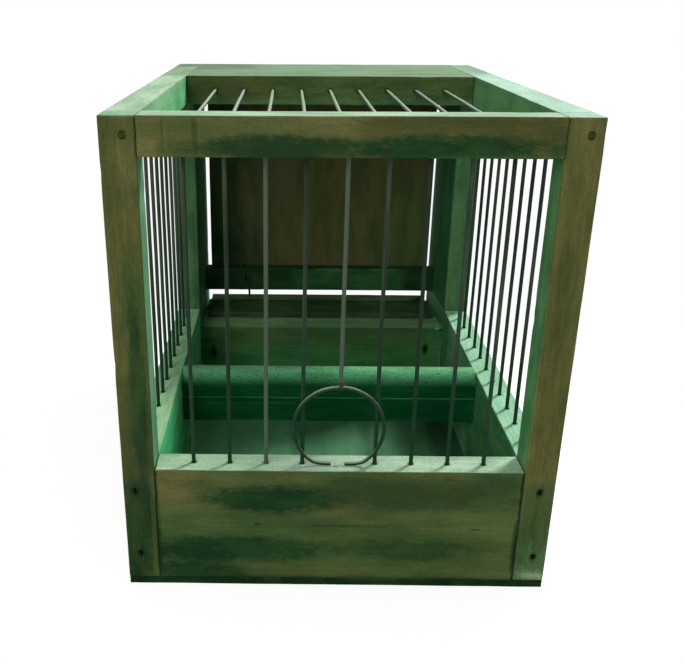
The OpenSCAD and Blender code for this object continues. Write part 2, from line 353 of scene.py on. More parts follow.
rodLook = {
    "points": 30, "sides": 14,
    "apart": 90.0,  # between the places of two bars in the noise that bends them
    "bends": 2.2,  # in a bar's length, as are the swellings
    "bendNoise": (1.0, 1.0, 0.5),  # each noise: scale, detail and roughness
    "bow": 8,  # makes the bends as wide as the wobble halfway along a bar
    "swellings": 14,
    "swellNoise": (1.0, 2.0, 0.55),
    "radius": (0.965, 0.05),  # least share of the radius, and what the swellings add
}
bentLook = {"bends": (90.0, 1.0, 0.5), "swellings": (400.0, 2.0, 0.55), "radius": (0.96, 0.06)}
studLook = {"tilt": 0.06, "spread": 0.05}  # radians and share of the size


def swept(net, route, sides, uneven):
    ring = net.add("GeometryNodeCurvePrimitiveCircle", {"mode": "RADIUS"},
                   {"Resolution": sides, "Radius": net.given["Radius"]})
    tube = net.add("GeometryNodeCurveToMesh", {},
                   {"Curve": route, "Profile Curve": ring, "Scale": uneven, "Fill Caps": True})
    return closeGeometry(net, tube)


def barRowTree():  # a row of straight wires, each with small bends of its own
    net = geometryNet("barRow", {
        "Count": "Int", "Start": "Vector", "Step": "Vector", "Run": "Vector", "Radius": "Float",
        "Wobble": "Float", "Seed": "Int", "Finish": "Material"})
    given = net.given
    spots = net.add("GeometryNodeMeshLine", {"mode": "OFFSET"},
                    {"Count": given["Count"], "Start Location": given["Start"], "Offset": given["Step"]})
    rod = net.add("GeometryNodeCurvePrimitiveLine", {"mode": "POINTS"},
                  {"Start": (0, 0, 0), "End": given["Run"]})
    rod = net.add("GeometryNodeResampleCurve", {"mode": "COUNT"}, {"Curve": rod, "Count": rodLook["points"]})
    row = net.add("GeometryNodeInstanceOnPoints", {}, {"Points": spots, "Instance": rod})
    luck = net.add("FunctionNodeRandomValue", {"data_type": "FLOAT"},
                   {2: 0.0, 3: rodLook["apart"], "Seed": given["Seed"]}, 1)
    row = net.add("GeometryNodeStoreNamedAttribute", {"data_type": "FLOAT", "domain": "INSTANCE"},
                  {"Geometry": row, "Name": "luck", "Value": luck})
    row = net.add("GeometryNodeRealizeInstances", {}, {"Geometry": row})
    share = net.add("GeometryNodeSplineParameter")
    own = net.add("GeometryNodeInputNamedAttribute", {"data_type": "FLOAT"}, {"Name": "luck"})
    place = net.add("ShaderNodeCombineXYZ", {}, {0: share * rodLook["bends"], 1: own})
    bend = net.drift(place, *rodLook["bendNoise"])
    slack = share * (1 - share) * rodLook["bow"] * given["Wobble"]  # none at the ends
    row = net.add("GeometryNodeSetPosition", {}, {"Geometry": row, "Offset": net.scale(bend, slack)})
    place = net.add("ShaderNodeCombineXYZ", {}, {0: share * rodLook["swellings"], 1: own})
    least, swelling = rodLook["radius"]
    uneven = least + net.cloud(place, *rodLook["swellNoise"]) * swelling
    return swept(net, row, rodLook["sides"], uneven)


def wireTree():  # a round wire along the object's own curve
    net = geometryNet("bentWire", {
        "Radius": "Float", "Spacing": "Float", "Wobble": "Float", "Sides": "Int", "Finish": "Material"})
    given = net.given
    route = net.add("GeometryNodeResampleCurve", {"mode": "LENGTH"},
                    {"Curve": given["Geometry"], "Length": given["Spacing"]})
    place = net.add("GeometryNodeInputPosition")
    bend = net.scale(net.drift(place, *bentLook["bends"]), given["Wobble"])
    route = net.add("GeometryNodeSetPosition", {}, {"Geometry": route, "Offset": bend})
    least, swelling = bentLook["radius"]
    uneven = least + net.cloud(place, *bentLook["swellings"]) * swelling
    return swept(net, route, given["Sides"], uneven)


def scatteredUnits(net, places, tilt, spread):
    given = net.given
    lean = net.add("FunctionNodeRandomValue", {"data_type": "FLOAT_VECTOR"},
                   {0: (-tilt, -tilt, -math.pi), 1: (tilt, tilt, math.pi), "Seed": given["Seed"]})
    facing = net.add("FunctionNodeAlignRotationToVector", {"axis": "Z"}, {"Vector": given["Facing"]})
    turn = net.add("FunctionNodeEulerToRotation", {}, {0: lean})
    turn = net.add("FunctionNodeRotateRotation", {"rotation_space": "LOCAL"}, {0: facing, 1: turn})
    size = net.add("FunctionNodeRandomValue", {"data_type": "FLOAT"},
                   {2: 1 - spread, 3: 1.0, "Seed": given["Seed"]}, 1)
    unit = net.add("GeometryNodeObjectInfo", {}, {"Object": given["Unit"]}, 4)
    return net.add("GeometryNodeInstanceOnPoints", {},
                   {"Points": places, "Instance": unit, "Rotation": turn, "Scale": size})


def studTree():  # the unit at each of the object's own points, facing outwards
    net = geometryNet("studs", {"Unit": "Object", "Facing": "Vector", "Seed": "Int", "Finish": "Material"})
    units = scatteredUnits(net, net.given["Geometry"], studLook["tilt"], studLook["spread"])
    return closeGeometry(net, units)


def drillTree():  # cuts the unit out of the object's own mesh at each point of Places
    net = geometryNet("bores", {
        "Places": "Object", "Unit": "Object", "Facing": "Vector", "Seed": "Int", "Finish": "Material"})
    places = net.add("GeometryNodeObjectInfo", {}, {"Object": net.given["Places"]}, 4)
    units = scatteredUnits(net, places, 0.0, 0.0)
    units = net.add("GeometryNodeRealizeInstances", {}, {"Geometry": units})
    cut = net.add("GeometryNodeMeshBoolean", {"operation": "DIFFERENCE", "solver": "EXACT"},
                  {"Mesh 1": net.given["Geometry"], "Mesh 2": units})
    return closeGeometry(net, cut)


trees = {"barRow": barRowTree(), "wire": wireTree(), "studs": studTree(), "drill": drillTree()}
print("trees built")

# wood finishes

tones = {  # paler and darker colour of each stain, linear; some also stand in for painted light and shade, as noted
    "olive": ((0.122, 0.124, 0.042), (0.074, 0.096, 0.031)),
    "tan": ((0.158, 0.142, 0.050), (0.108, 0.110, 0.038)),
    "umber": ((0.082, 0.082, 0.025), (0.050, 0.060, 0.018)),
    "moss": ((0.068, 0.116, 0.036), (0.040, 0.082, 0.025)),
    "thicket": ((0.046, 0.074, 0.024), (0.026, 0.052, 0.017)),
    "forest": ((0.015, 0.054, 0.016), (0.006, 0.031, 0.010)),
    "khaki": ((0.107, 0.108, 0.032), (0.065, 0.083, 0.024)),
    # frost, pear and dew colour top faces: partly the stain, partly painted light from above and painted
    # sheen
    "frost": ((0.400, 0.575, 0.410), (0.290, 0.455, 0.300)),
    "pear": ((0.330, 0.600, 0.340), (0.250, 0.500, 0.260)),
    "dew": ((0.320, 0.600, 0.410), (0.240, 0.500, 0.310)),
    "spring": ((0.110, 0.600, 0.240), (0.055, 0.440, 0.160)),
    "lawn": ((0.110, 0.275, 0.108), (0.064, 0.195, 0.068)),
    "bottle": ((0.003, 0.072, 0.021), (0.001, 0.045, 0.012)),
    # mint and pearl colour top faces: partly the stain, partly painted light from above and painted sheen
    "mint": ((0.385, 0.540, 0.385), (0.255, 0.405, 0.260)),
    "pearl": ((0.425, 0.615, 0.505), (0.330, 0.510, 0.400)),
    "sage": ((0.200, 0.315, 0.192), (0.148, 0.240, 0.140)),
    "slate": ((0.130, 0.165, 0.110), (0.080, 0.110, 0.070)),
    "apple": ((0.300, 0.540, 0.320), (0.190, 0.400, 0.210)),
    "emerald": ((0.150, 0.460, 0.205), (0.075, 0.330, 0.135)),
    "jade": ((0.165, 0.370, 0.205), (0.095, 0.265, 0.135)),
    "leaf": ((0.078, 0.185, 0.077), (0.042, 0.125, 0.047)),
    "deep": ((0.013, 0.108, 0.036), (0.004, 0.066, 0.020)),
    "fern": ((0.052, 0.185, 0.058), (0.028, 0.130, 0.040)),
    "litter": ((0.150, 0.400, 0.205), (0.122, 0.345, 0.172)),
    # damp: painted shade on the floor
    "damp": ((0.030, 0.085, 0.040), (0.018, 0.060, 0.028)),
    "willow": ((0.175, 0.305, 0.145), (0.100, 0.215, 0.095)),
    "sea": ((0.115, 0.420, 0.190), (0.075, 0.330, 0.140)),
    "bare": ((0.080, 0.083, 0.032), (0.048, 0.062, 0.022)),
    "night": ((0.048, 0.088, 0.035), (0.020, 0.050, 0.020)),
    "seam": ((0.008, 0.018, 0.007), (0.004, 0.010, 0.004)),
    "worn": ((0.300, 0.340, 0.215), (0.210, 0.260, 0.150)),
}
woodFields = {  # each noise: stretch along the grain, scale, detail and roughness
    "streak": (0.06, 0.85, 5.0, 0.62),
    "mottle": (0.3, 0.085, 5.0, 0.62),
    "fuzz": (0.75, 0.30, 5.0, 0.68),
    "speckle": (0.75, 1.3, 3.0, 0.6),
    "flecks": (0.75, 1.5, 3.0, 0.6),
    "grit": (0.3, 0.9, 4.0, 0.65),
    "wander": (0.75, 0.07, 4.0, 0.62),
}
woodLook = {
    "fieldShift": (17.3, 9.1, 23.7),  # mm for each seed
    "streakRange": (0.33, 0.67), "mottleRange": (0.36, 0.64), "speckleRange": (0.36, 0.64),
    "ringGap": 2.3,  # mm between growth rings
    "pith": (31, -44),  # mm from the middle of a board to the heart of its tree
    "ringWander": 14.0,  # mm
    "lateWood": (0.35, 0.9), "lateEnd": (1.0, 0.93),  # shares of a ring
    "ringDepth": 0.10,
    "streakDepth": 0.20,
    "speckleTints": ((0.90, 0.99, 0.92, 1), (1.12, 1.02, 1.08, 1)),
    "flecks": 0.34,
    "fleckRange": (0.57, 0.70),
    "fleckTone": (0.010, 0.026, 0.010),
    "worn": 0.14,
    "wornReach": (1.7, 0.255),  # mm in from an edge where wear starts and is full
    "wornRange": (0.75, 1.25), "wornSpeckle": 0.5,
    "wornTone": (0.150, 0.185, 0.085),
    "marked": 0.5, "markShare": (0.7, 0.3),  # least share, and what the speckle adds
    "markTone": (0.003, 0.012, 0.002),
    "markReach": (2.3, 0.7),  # mm from a nail to the outside and the dark middle of its mark
    "markSqueeze": (1.0, 1.0, 0.5),  # draws a mark out upwards
    "markWander": 1.5,
    # grime: painted shade, darker round the foot of each bar where it enters the wood
    "grime": 0.6,
    "barFootShadeReach": (2.3, 1.0),  # mm from the middle of a bar
    "raggedAlong": 18.0, "raggedAcross": 5.2,  # mm that a patch's outline wanders
    "blur": 2.0,  # widens the soft edge of every patch
    "breakup": 3.6,  # how much the grit eats into a patch
    "breakupRange": (0.06, 0.94),
    "rough": 0.66, "streakRough": 0.16, "fleckRough": 0.1,
    "gloss": 0.05,
    "streakHeight": 0.5, "lateHeight": 0.3, "fleckHeight": 0.6,
    "bump": (0.40, 0.20),  # strength and mm
}
paintLook = {
    "inset": 0.3,  # mm from the edge of a board to the paint of a whole face
    "faceSkin": 0.4, "patchSkin": 1.3, "smudgeSkin": 2.0,  # mm that paint reaches to each side of a face
    "faceSoft": 0.4, "edgeSoft": 0.8,  # mm
    "softInset": 0.4, "mostInset": 0.7,  # shares of its softness and half size that a patch draws in
    "ovalCore": 0.3,  # full paint in the middle of a smudge
    "line": 2.0, "strip": 5.0,  # mm; narrower patches keep a straighter outline
    "lineRagged": 0.08, "stripRagged": 0.3, "zoneRagged": 0.15,
}
coveredNails = {"from": 150, "to": 190, "least": 0.3}  # heights in mm between which stain hides the heads
sides = {"left": (0, -1), "right": (0, 1), "front": (1, -1), "rear": (1, 1), "under": (2, -1), "top": (2, 1)}

# the inner faces of the sides run straight from the front and draw in behind the front of the nest box
outerSide, innerSide = (float(-corner[0]) for corner in boxOf("front_post_left"))
sideWidth = outerSide - innerSide
drawnFrom, drawnTo = (float(corner[1]) for corner in boxOf("nest_wall_left"))
drawnLeft = innerSide + float(boxOf("nest_wall_left")[1][0])
drawnRight = innerSide - float(boxOf("nest_wall_right")[0][0])
drawnSlack = (4, 1)  # mm inside and outside of the inner face within which a board's end follows it


def solid(tone):
    return (*tone, 1)


def edgeShare(net, axes, low, high, start, end):  # 1 on the edges of a box, 0 further in than start
    gaps = []
    for value, first, last in zip(axes, low, high):
        gaps.append((value - float(first)).math("MINIMUM", float(last) - value))
    small = gaps[0].math("MINIMUM", gaps[1])
    large = gaps[0].math("MAXIMUM", gaps[1])
    second = small.math("MAXIMUM", large.math("MINIMUM", gaps[2]))
    return net.ease(second, start, end)


def boxShare(net, place, low, high, soft, facing=None):  # 1 inside a box, about half on its faces, 0 outside
    centre = [(a + b) / 2 for a, b in zip(low, high)]
    half = [(b - a) / 2 for a, b in zip(low, high)]
    half = [size - min(soft * paintLook["softInset"], size * paintLook["mostInset"]) for size in half]
    away = net.vector("ABSOLUTE", net.vector("SUBTRACT", place, centre))
    away = net.vector("MAXIMUM", net.vector("SUBTRACT", away, half), (0, 0, 0))
    if facing is not None:  # a patch ends with the face that it is on
        away = net.vector("MULTIPLY", away, onAxis(facing, max(1.0, soft / paintLook["edgeSoft"]), 1.0))
    return net.ease(net.length(away), soft, 0.0)


def ovalShare(net, place, low, high):  # 1 in the middle of an oval that fills a box, 0 outside
    centre = [(a + b) / 2 for a, b in zip(low, high)]
    shrink = tuple(2 / (b - a) for a, b in zip(low, high))
    away = net.vector("MULTIPLY", net.vector("SUBTRACT", place, centre), shrink)
    return net.ease(net.length(away), 1.0, paintLook["ovalCore"])


def nearShare(net, place, spots, squeeze, start, end):  # 1 close to any of the spots
    reach = None
    for spot in spots:
        away = net.length(net.vector("MULTIPLY", net.vector("SUBTRACT", place, tuple(spot)), squeeze))
        reach = away if reach is None else reach.math("MINIMUM", away)
    return net.ease(reach, start, end)


def bareShare(net, height):  # nail heads near the top are stained over
    low = coveredNails["least"]
    return low + (1 - low) * net.ease(height, coveredNails["to"], coveredNails["from"])


def faceBox(side, low, high, start, end, skin):  # the box of a patch, given by its two axes on a face
    axis, way = sides[side]
    plane = float(high[axis] if way > 0 else low[axis])
    a, b = list(start), list(end)
    a.insert(axis, plane - skin)
    b.insert(axis, plane + skin)
    return a, b


def paintings(board, low, high):  # in painting order: (tone, low, high, amount, soft, ragged, axis)
    look = paintLook
    for side, tone in board.get("faces", {}).items():
        whole = [[float(k) + shift for axis, k in enumerate(corner) if axis != sides[side][0]]
                 for corner, shift in ((low, look["inset"]), (high, -look["inset"]))]
        start, end = board.get("spans", {}).get(side, whole)
        box = faceBox(side, low, high, start, end, look["faceSkin"])
        yield tone, *box, 1.0, look["faceSoft"], 0.0, None
    for side, patches in board.get("patches", {}).items():
        for tone, start, end, amount, soft in patches:
            width = min(b - a for a, b in zip(start, end))
            ragged = 1.0
            if width < look["strip"]:
                ragged = look["lineRagged"] if width < look["line"] else look["stripRagged"]
            else:
                soft *= woodLook["blur"]
            box = faceBox(side, low, high, start, end, look["patchSkin"])
            yield tone, *box, amount, soft, ragged, sides[side][0]
    for side, smudges in board.get("smudges", {}).items():
        for tone, start, end, amount in smudges:
            box = faceBox(side, low, high, start, end, look["smudgeSkin"])
            yield tone, *box, amount, None, 1.0, sides[side][0]
    for tone, start, end, amount, soft in board.get("zones", ()):
        yield tone, start, end, amount, soft, board.get("zoneRagged", look["zoneRagged"]), None


def straightened(net, place, side):  # where a point of a tapered side would be if the side ran straight
    x, y, z = net.split(place)
    depth = net.add("ShaderNodeMapRange", {}, {"Value": y, "From Min": drawnFrom, "From Max": drawnTo})
    drawn = depth * (drawnLeft if side < 0 else drawnRight)
    out = (x * side + drawn * (1 + innerSide / sideWidth)) / (1 + drawn * (1 / sideWidth))
    return net.add("ShaderNodeCombineXYZ", {}, {0: out * side, 1: y, 2: z})


def woodMaterial(name, board, low, high, marks=(), bores=()):
    look = {**woodLook, **board}
    grain, seed = look["grain"], look["seed"]
    net = shaderNet(name)
    place = net.place()
    if "tapered" in board and max(low[0], -high[0]) > 0:
        place = straightened(net, place, -1 if low[0] < 0 else 1)
    axes = net.split(place)
    shift = tuple(seed * k for k in look["fieldShift"])

    def field(kind, make=net.cloud):
        along, *settings = woodFields[kind]
        return make(net.vector("MULTIPLY_ADD", place, onAxis(grain, along, 1.0), shift), *settings)

    streak = net.ease(field("streak"), *look["streakRange"])
    mottle = net.ease(field("mottle"), *look["mottleRange"])
    speckle = net.ease(field("speckle"), *look["speckleRange"])
    flecks = net.ease(field("flecks"), *look["fleckRange"])
    grit = field("fuzz") * 0.5 + field("grit") * 0.5
    wander = field("wander", net.drift)

    pith = [(low[k] + high[k]) / 2 + look["pith"][k != (grain + 1) % 3] * (-1) ** seed for k in range(3)]
    pith[grain] = 0.0
    rings = net.vector("SUBTRACT", net.vector("MULTIPLY", place, onAxis(grain, 0.0, 1.0)), tuple(pith))
    rings = net.vector("ADD", rings, net.scale(wander, look["ringWander"]))
    rings = (net.length(rings) / look["ringGap"]).math("FRACT")
    late = net.ease(rings, *look["lateWood"]) * net.ease(rings, *look["lateEnd"])

    def stained(tone):
        pale, dark = tones[tone]
        return net.mix(mottle, solid(dark), solid(pale))

    colour = stained(look["tone"])
    for tone, start, end, amount, soft, ragged, facing in paintings(look, low, high):
        there = place
        if ragged:
            sway = [k * ragged for k in onAxis(grain, look["raggedAlong"], look["raggedAcross"])]
            if facing is not None:
                sway[facing] = 0.0
            there = net.vector("MULTIPLY_ADD", wander, tuple(sway), place)
        if soft is None:
            share = ovalShare(net, there, start, end)
        else:
            share = boxShare(net, there, start, end, soft, facing)
        if ragged == 1:
            share = net.ease(share * (1 + (grit - 0.5) * look["breakup"]), *look["breakupRange"])
        colour = net.mix(share * amount, colour, stained(tone))
    colour = net.mix(flecks * look["flecks"], colour, solid(look["fleckTone"]))
    colour = net.vector("MULTIPLY", colour, net.mix(speckle, *look["speckleTints"]))
    colour = net.scale(colour, 1 + look["streakDepth"] * (streak - 0.5) - look["ringDepth"] * late)
    worn = edgeShare(net, axes, low, high, *look["wornReach"])
    worn = worn * net.ease(mottle + speckle * look["wornSpeckle"], *look["wornRange"])
    colour = net.mix(worn * look["worn"], colour, solid(look["wornTone"]))
    if len(marks):
        least, added = look["markShare"]
        there = net.vector("MULTIPLY_ADD", wander, (look["markWander"],) * 3, place)
        dark = nearShare(net, there, marks, look["markSqueeze"], *look["markReach"])
        dark = dark * (least + added * speckle)
        colour = net.mix(dark * look["marked"] * bareShare(net, axes[2]), colour, solid(look["markTone"]))
    # painted shade round the foot of each bar
    if len(bores):
        grime = nearShare(net, place, bores, (1.0, 1.0, 1.0), *look["barFootShadeReach"])
        colour = net.mix(grime * look["grime"], colour, solid(look["fleckTone"]))
    rough = look["rough"] + look["streakRough"] * streak + look["fleckRough"] * flecks
    height = streak * look["streakHeight"] - late * look["lateHeight"] - flecks * look["fleckHeight"]
    normal = bumped(net, height, *look["bump"])
    return closeShader(net, colour, rough, normal, look["gloss"])


# boards

edgeLook = {
    "radius": 0.55,  # mm, as are the other sizes here
    "radiusSwing": 0.5, "radiusWave": 0.06,
    "stations": (0, 0.3, 0.65, 1.05, 1.7, 2.8),  # gaps from an end, in edge radii
    "stationsWithin": 0.4,  # share of the width that they keep to
    "pitch": 4.2,
    "uneven": 0.11, "hollowWave": 0.028,
    "seedShift": 3.7,  # in the noise, for each seed
    "nicks": 7, "nickDepth": (0.4, 0.5),  # least share of the depth, and the depth
    "nickReach": (1.2, 3.2), "nickStretch": 0.45,
    "onGrainEdge": 0.8,  # share of the nicks that lie on an edge along the grain
}
plyLook = {  # mm, and shares of a ply
    "steps": (0.02, 0.16, 0.05), "groove": 0.16, "halfWidth": 0.04, "stations": (-0.1, -0.03, 0.03, 0.1)}
greenWorn = (0.170, 0.340, 0.180)
postSpan = ((-137.1, 64.2), (-122, 206))
boards = {
    "base_panel": {
        "grain": 1, "seed": 1, "tone": "forest", "plies": 3, "worn": 0.1, "slot": "green_ply",
        "faces": {"top": "litter"}, "spans": {"top": ((-85, -121), (85, 78))}, "streakDepth": 0.04,
        "ringDepth": 0.0, "flecks": 0.05, "breakup": 0.8,
        "patches": {
            "top": [
                # the damp and forest patches darken the floor towards the right wall: painted shade
                ("damp", (-20, -80), (32, 78), 0.43, 7), ("damp", (24, -80), (85, 78), 0.7, 10),
                ("forest", (68, -80), (94, 78), 0.7, 7), ("leaf", (-85, -60), (85, -36), 0.25, 8)],
            "front": [("seam", (-101, -1), (101, 5), 0.45, 1)]}},
    "front_post_left": {
        "grain": 2, "seed": 2, "tone": "khaki", "faces": {"right": "jade", "top": "mint"},
        "spans": {"right": postSpan},
        "patches": {
            "front": [
                ("tan", (-92, 195), (-86, 212), 0.7, 5), ("moss", (-93, 60), (-86.4, 160), 0.6, 4),
                ("thicket", (-98, 40), (-88, 112), 0.6, 5), ("forest", (-101, 3), (-87.4, 57), 0.92, 6),
                ("moss", (-87.6, 5), (-85.6, 61), 0.8, 0.5), ("seam", (-85.6, 4), (-84.8, 63.5), 0.6, 0.5),
                ("forest", (-85.7, 206.5), (-84.8, 222.5), 0.5, 0.8)],
            "top": [("jade", (-100, -138), (-85, -124), 0.45, 2)]},
        "smudges": {
            "front": [("forest", (-96, 30), (-85, 172), 0.75), ("thicket", (-104, 20), (-84, 124), 0.6)]}},
    "front_post_right": {
        "grain": 2, "seed": 3, "tone": "khaki", "faces": {"left": "lawn", "top": "pearl"},
        "spans": {"left": postSpan},
        "patches": {
            "front": [
                ("tan", (87, 200), (100, 222), 0.45, 10), ("umber", (88.5, 62), (93, 200), 0.45, 3),
                ("moss", (85, 3), (100, 56), 0.9, 14), ("thicket", (86, 12), (100, 56), 0.55, 8),
                ("leaf", (85, 3), (100, 24), 0.4, 8), ("apple", (85.5, 3), (100, 10), 0.25, 3),
                ("worn", (87.5, 5.8), (99.5, 8.2), 0.6, 1.6), ("seam", (84.8, 4), (85.5, 63.5), 0.8, 0.4),
                ("forest", (84.8, 206.5), (85.7, 222.5), 0.5, 0.8)],
            "left": [
                ("forest", (-138, 150), (-122, 206), 0.15, 14),
                ("emerald", (-138, 64), (-122, 150), 0.15, 16)]}},
    "front_board": {
        "grain": 0, "seed": 4, "tone": "moss", "faces": {"top": "frost", "rear": "jade"}, "streakDepth": 0.14,
        "ringDepth": 0.05, "flecks": 0.5,
        "patches": {
            "front": [
                ("olive", (-86, 42), (60, 63), 0.55, 4), ("tan", (-86, 50), (-68, 63), 0.85, 6),
                ("thicket", (-6, 44), (84, 60), 0.7, 7), ("olive", (-10, 31), (84, 40), 0.25, 5),
                ("olive", (52, 6), (84, 30), 0.35, 8), ("tan", (-42, 5), (14, 11), 0.25, 3),
                ("forest", (-86, 3), (86, 5.4), 0.6, 1.6), ("forest", (-86, 4), (-84.0, 62), 0.7, 1.2),
                ("seam", (-39, 34.3), (-36.6, 34.9), 0.8, 0.5), ("seam", (63, 32.3), (67, 32.9), 0.7, 0.5),
                ("forest", (-12, 33.4), (24, 34.6), 0.45, 0.8), ("seam", (84.2, 4), (86, 63), 0.9, 0.7),
                ("seam", (83.2, 8), (84.6, 38), 0.6, 1.0), ("seam", (-86, 4), (-84.5, 63), 0.6, 0.6)]},
        "smudges": {
            "front": [
                ("forest", (-82, 37.5), (22, 59.5), 0.97), ("forest", (-68, 43), (10, 54), 0.8),
                ("thicket", (-20, 38), (96, 62), 0.7), ("forest", (-122, 9), (22, 32), 0.95),
                ("forest", (-80, 14), (-14, 27), 0.5), ("forest", (-16, 12), (82, 30), 0.7),
                ("forest", (-108, -6), (-30, 17), 0.9)]}},
    "side_board_left": {
        "grain": 1, "seed": 5, "tone": "olive", "faces": {"right": "spring", "top": "pear"}, "tapered": True,
        "patches": {
            # deep darkens the inner face towards the rear, inside the nest box: painted shade
            "right": [("deep", (78, 4), (138, 63), 0.85, 10), ("jade", (-60, 4), (76, 63), 0.3, 25)],
            "left": [("moss", (-122, 4), (138, 30), 0.8, 12), ("forest", (-122, 4), (138, 12), 0.8, 5)]}},
    "side_board_right": {
        "grain": 1, "seed": 6, "tone": "olive", "faces": {"left": "jade", "top": "dew"}, "tapered": True,
        "patches": {
            "left": [("fern", (60, 4), (138, 63), 0.8, 14), ("fern", (-122, 4), (-20, 63), 0.85, 16)],
            "right": [("moss", (-122, 4), (138, 34), 0.8, 12), ("forest", (-60, 4), (138, 14), 0.8, 6)]}},
    "front_top_rail": {
        "grain": 0, "seed": 7, "tone": "olive", "faces": {"top": "mint", "rear": "leaf", "under": "leaf"},
        "streakDepth": 0.14, "ringDepth": 0.05, "flecks": 0.45,
        "patches": {
            "front": [
                ("tan", (-86, 206), (-72, 223), 0.4, 3), ("umber", (4, 213), (86, 224), 0.88, 9),
                ("thicket", (-76, 206), (84, 212), 0.6, 3.5),
                ("forest", (-62.4, 207), (-60.8, 222), 0.5, 1.6),
                ("thicket", (-74.9, 208), (-74.1, 222), 0.5, 0.5), ("forest", (80, 206), (84.5, 212), 0.6, 2),
                ("forest", (-86, 206.5), (-84.6, 222.6), 0.3, 0.8),
                ("forest", (84.6, 206.5), (86, 222.6), 0.3, 0.8)]},
        "smudges": {
            "front": [("forest", (-86, 203), (30, 218), 0.8), ("forest", (-14, 201), (94, 219), 0.97)]}},
    "side_top_rail_left": {
        "grain": 1, "seed": 8, "tone": "olive", "faces": {"right": "emerald", "top": "mint", "under": "leaf"},
        "streakDepth": 0.1, "ringDepth": 0.03,
        "patches": {
            "top": [("sage", (-100, 50), (-85, 138), 0.85, 30), ("slate", (-100, 118), (-85, 139), 0.6, 14)],
            "right": [("apple", (-118, 217), (20, 223), 0.55, 3)]}},
    "side_top_rail_right": {
        "grain": 1, "seed": 9, "tone": "olive", "faces": {"left": "lawn", "top": "pearl", "under": "leaf"},
        "streakDepth": 0.1, "ringDepth": 0.03,
        "patches": {"top": [("sage", (85, 70), (100, 138), 0.8, 30)]}},
    "cross_rail": {
        "grain": 0, "seed": 10, "tone": "thicket", "faces": {"top": "sage", "rear": "fern", "under": "fern"},
        "patches": {
            "front": [
                ("moss", (-85, 206), (85, 223), 0.75, 3), ("umber", (-80, 213), (-38, 223), 0.6, 6),
                ("leaf", (-85, 206), (85, 210), 0.35, 3)]}},
    "roof_board": {
        "grain": 0, "seed": 11, "tone": "fern", "faces": {"top": "sage", "rear": "olive"},
        "patches": {
            "top": [
                ("slate", (-86, 92), (-52, 139), 0.6, 18), ("slate", (-86, 136.4), (86, 139), 0.7, 1.0)]}},
    # the deep zones darken the nest walls inside the nest box: painted shade
    "nest_wall_left": {
        "grain": 2, "seed": 12, "tone": "leaf", "faces": {"left": "olive", "rear": "olive"}, "tapered": True,
        "zones": [("deep", (-86, 81, 60), (-80, 140, 210), 0.8, 2)]},
    "nest_wall_right": {
        "grain": 2, "seed": 13, "tone": "leaf", "faces": {"right": "olive", "rear": "olive"}, "tapered": True,
        "zones": [("deep", (80, 81, 60), (86, 140, 210), 0.7, 2)]},
    "perch_bearer": {
        "grain": 0, "seed": 14, "tone": "bottle", "wornTone": greenWorn, "worn": 0.1, "flecks": 0.1,
        "patches": {
            "front": [
                ("emerald", (-86, 48.9), (86, 49.7), 0.25, 0.35),
                ("leaf", (-70, 45.4), (-20, 45.9), 0.35, 0.4)]}},
    "shelf_board": {
        "grain": 0, "seed": 15, "tone": "fern", "faces": {"top": "willow"}, "wornTone": greenWorn,
        "worn": 0.55, "tapered": True, "markReach": (3.0, 1.2), "markTone": (0.001, 0.008, 0.001),
        "marked": 0.95,
        "patches": {
            "front": [
                ("moss", (-76, 37), (66, 50), 0.6, 6), ("deep", (-86, 4), (-76, 50), 0.5, 4),
                ("apple", (79.6, 49.6), (82.4, 51), 0.9, 0.8),
                ("seam", (82.8, 48.5), (85, 49.4), 0.9, 0.5)]}},
    # its top is painted dark (night): painted shade inside the nest box
    "back_board": {
        "grain": 0, "seed": 16, "tone": "fern", "faces": {"rear": "olive", "top": "night"}, "worn": 0.0,
        "tapered": True},
    "back_rail": {
        "grain": 0, "seed": 17, "tone": "forest", "faces": {"rear": "olive"}, "wornTone": greenWorn,
        "worn": 0.15, "tapered": True,
        "patches": {"front": [("fern", (-18, 66), (58, 80), 0.4, 8)]}},
    "shelf_block_left": {"grain": 2, "seed": 18, "tone": "fern", "tapered": True},
    "shelf_block_right": {"grain": 2, "seed": 19, "tone": "fern", "tapered": True},
    # its dark tone is partly painted shade of the nest box; the seam patch along the rear strip is painted
    # shade
    "nest_floor": {
        "grain": 0, "seed": 20, "tone": "night", "plies": 3, "slot": "bare_ply", "body": "floor", "worn": 0.1,
        "ringDepth": 0.0, "gloss": 0.0,
        "patches": {
            "top": [("seam", (-84, 122), (84, 138.5), 0.75, 2.5)],
            "rear": [("bare", (-84, 50), (84, 55), 0.7, 2)]}},
    # the door's bare-ply tone is darker than the ply itself: partly painted shade of the closed nest box
    "rear_door": {
        "grain": 2, "seed": 21, "tone": "bare", "plies": 3, "slot": "bare_ply", "body": "door", "worn": 0.15,
        "streakDepth": 0.12, "ringDepth": 0.03, "flecks": 0.12,
        "patches": {
            "front": [
                ("umber", (-10, 100), (52, 205), 0.55, 22), ("thicket", (-83, 76), (-60, 210), 0.8, 12),
                ("forest", (-83, 90), (-62, 210), 0.6, 9), ("forest", (-83, 76), (-40, 100), 0.5, 14),
                ("moss", (50, 76), (82, 140), 0.6, 14)],
            "rear": [("moss", (-83, 76), (82, 110), 0.5, 20), ("forest", (30, 150), (82, 210), 0.35, 20)]}},
}


def stationsAlong(low, high, edge, pitch):  # places along one axis, closer together near the ends
    near = [share * edge for share in edgeLook["stations"]]
    near = [gap for gap in near if gap < (high - low) * edgeLook["stationsWithin"]]
    first, last = low + near[-1], high - near[-1]
    count = max(1, round((last - first) / pitch))
    middle = [first + (last - first) * k / count for k in range(1, count)]
    return sorted([low + gap for gap in near] + middle + [high - gap for gap in near])


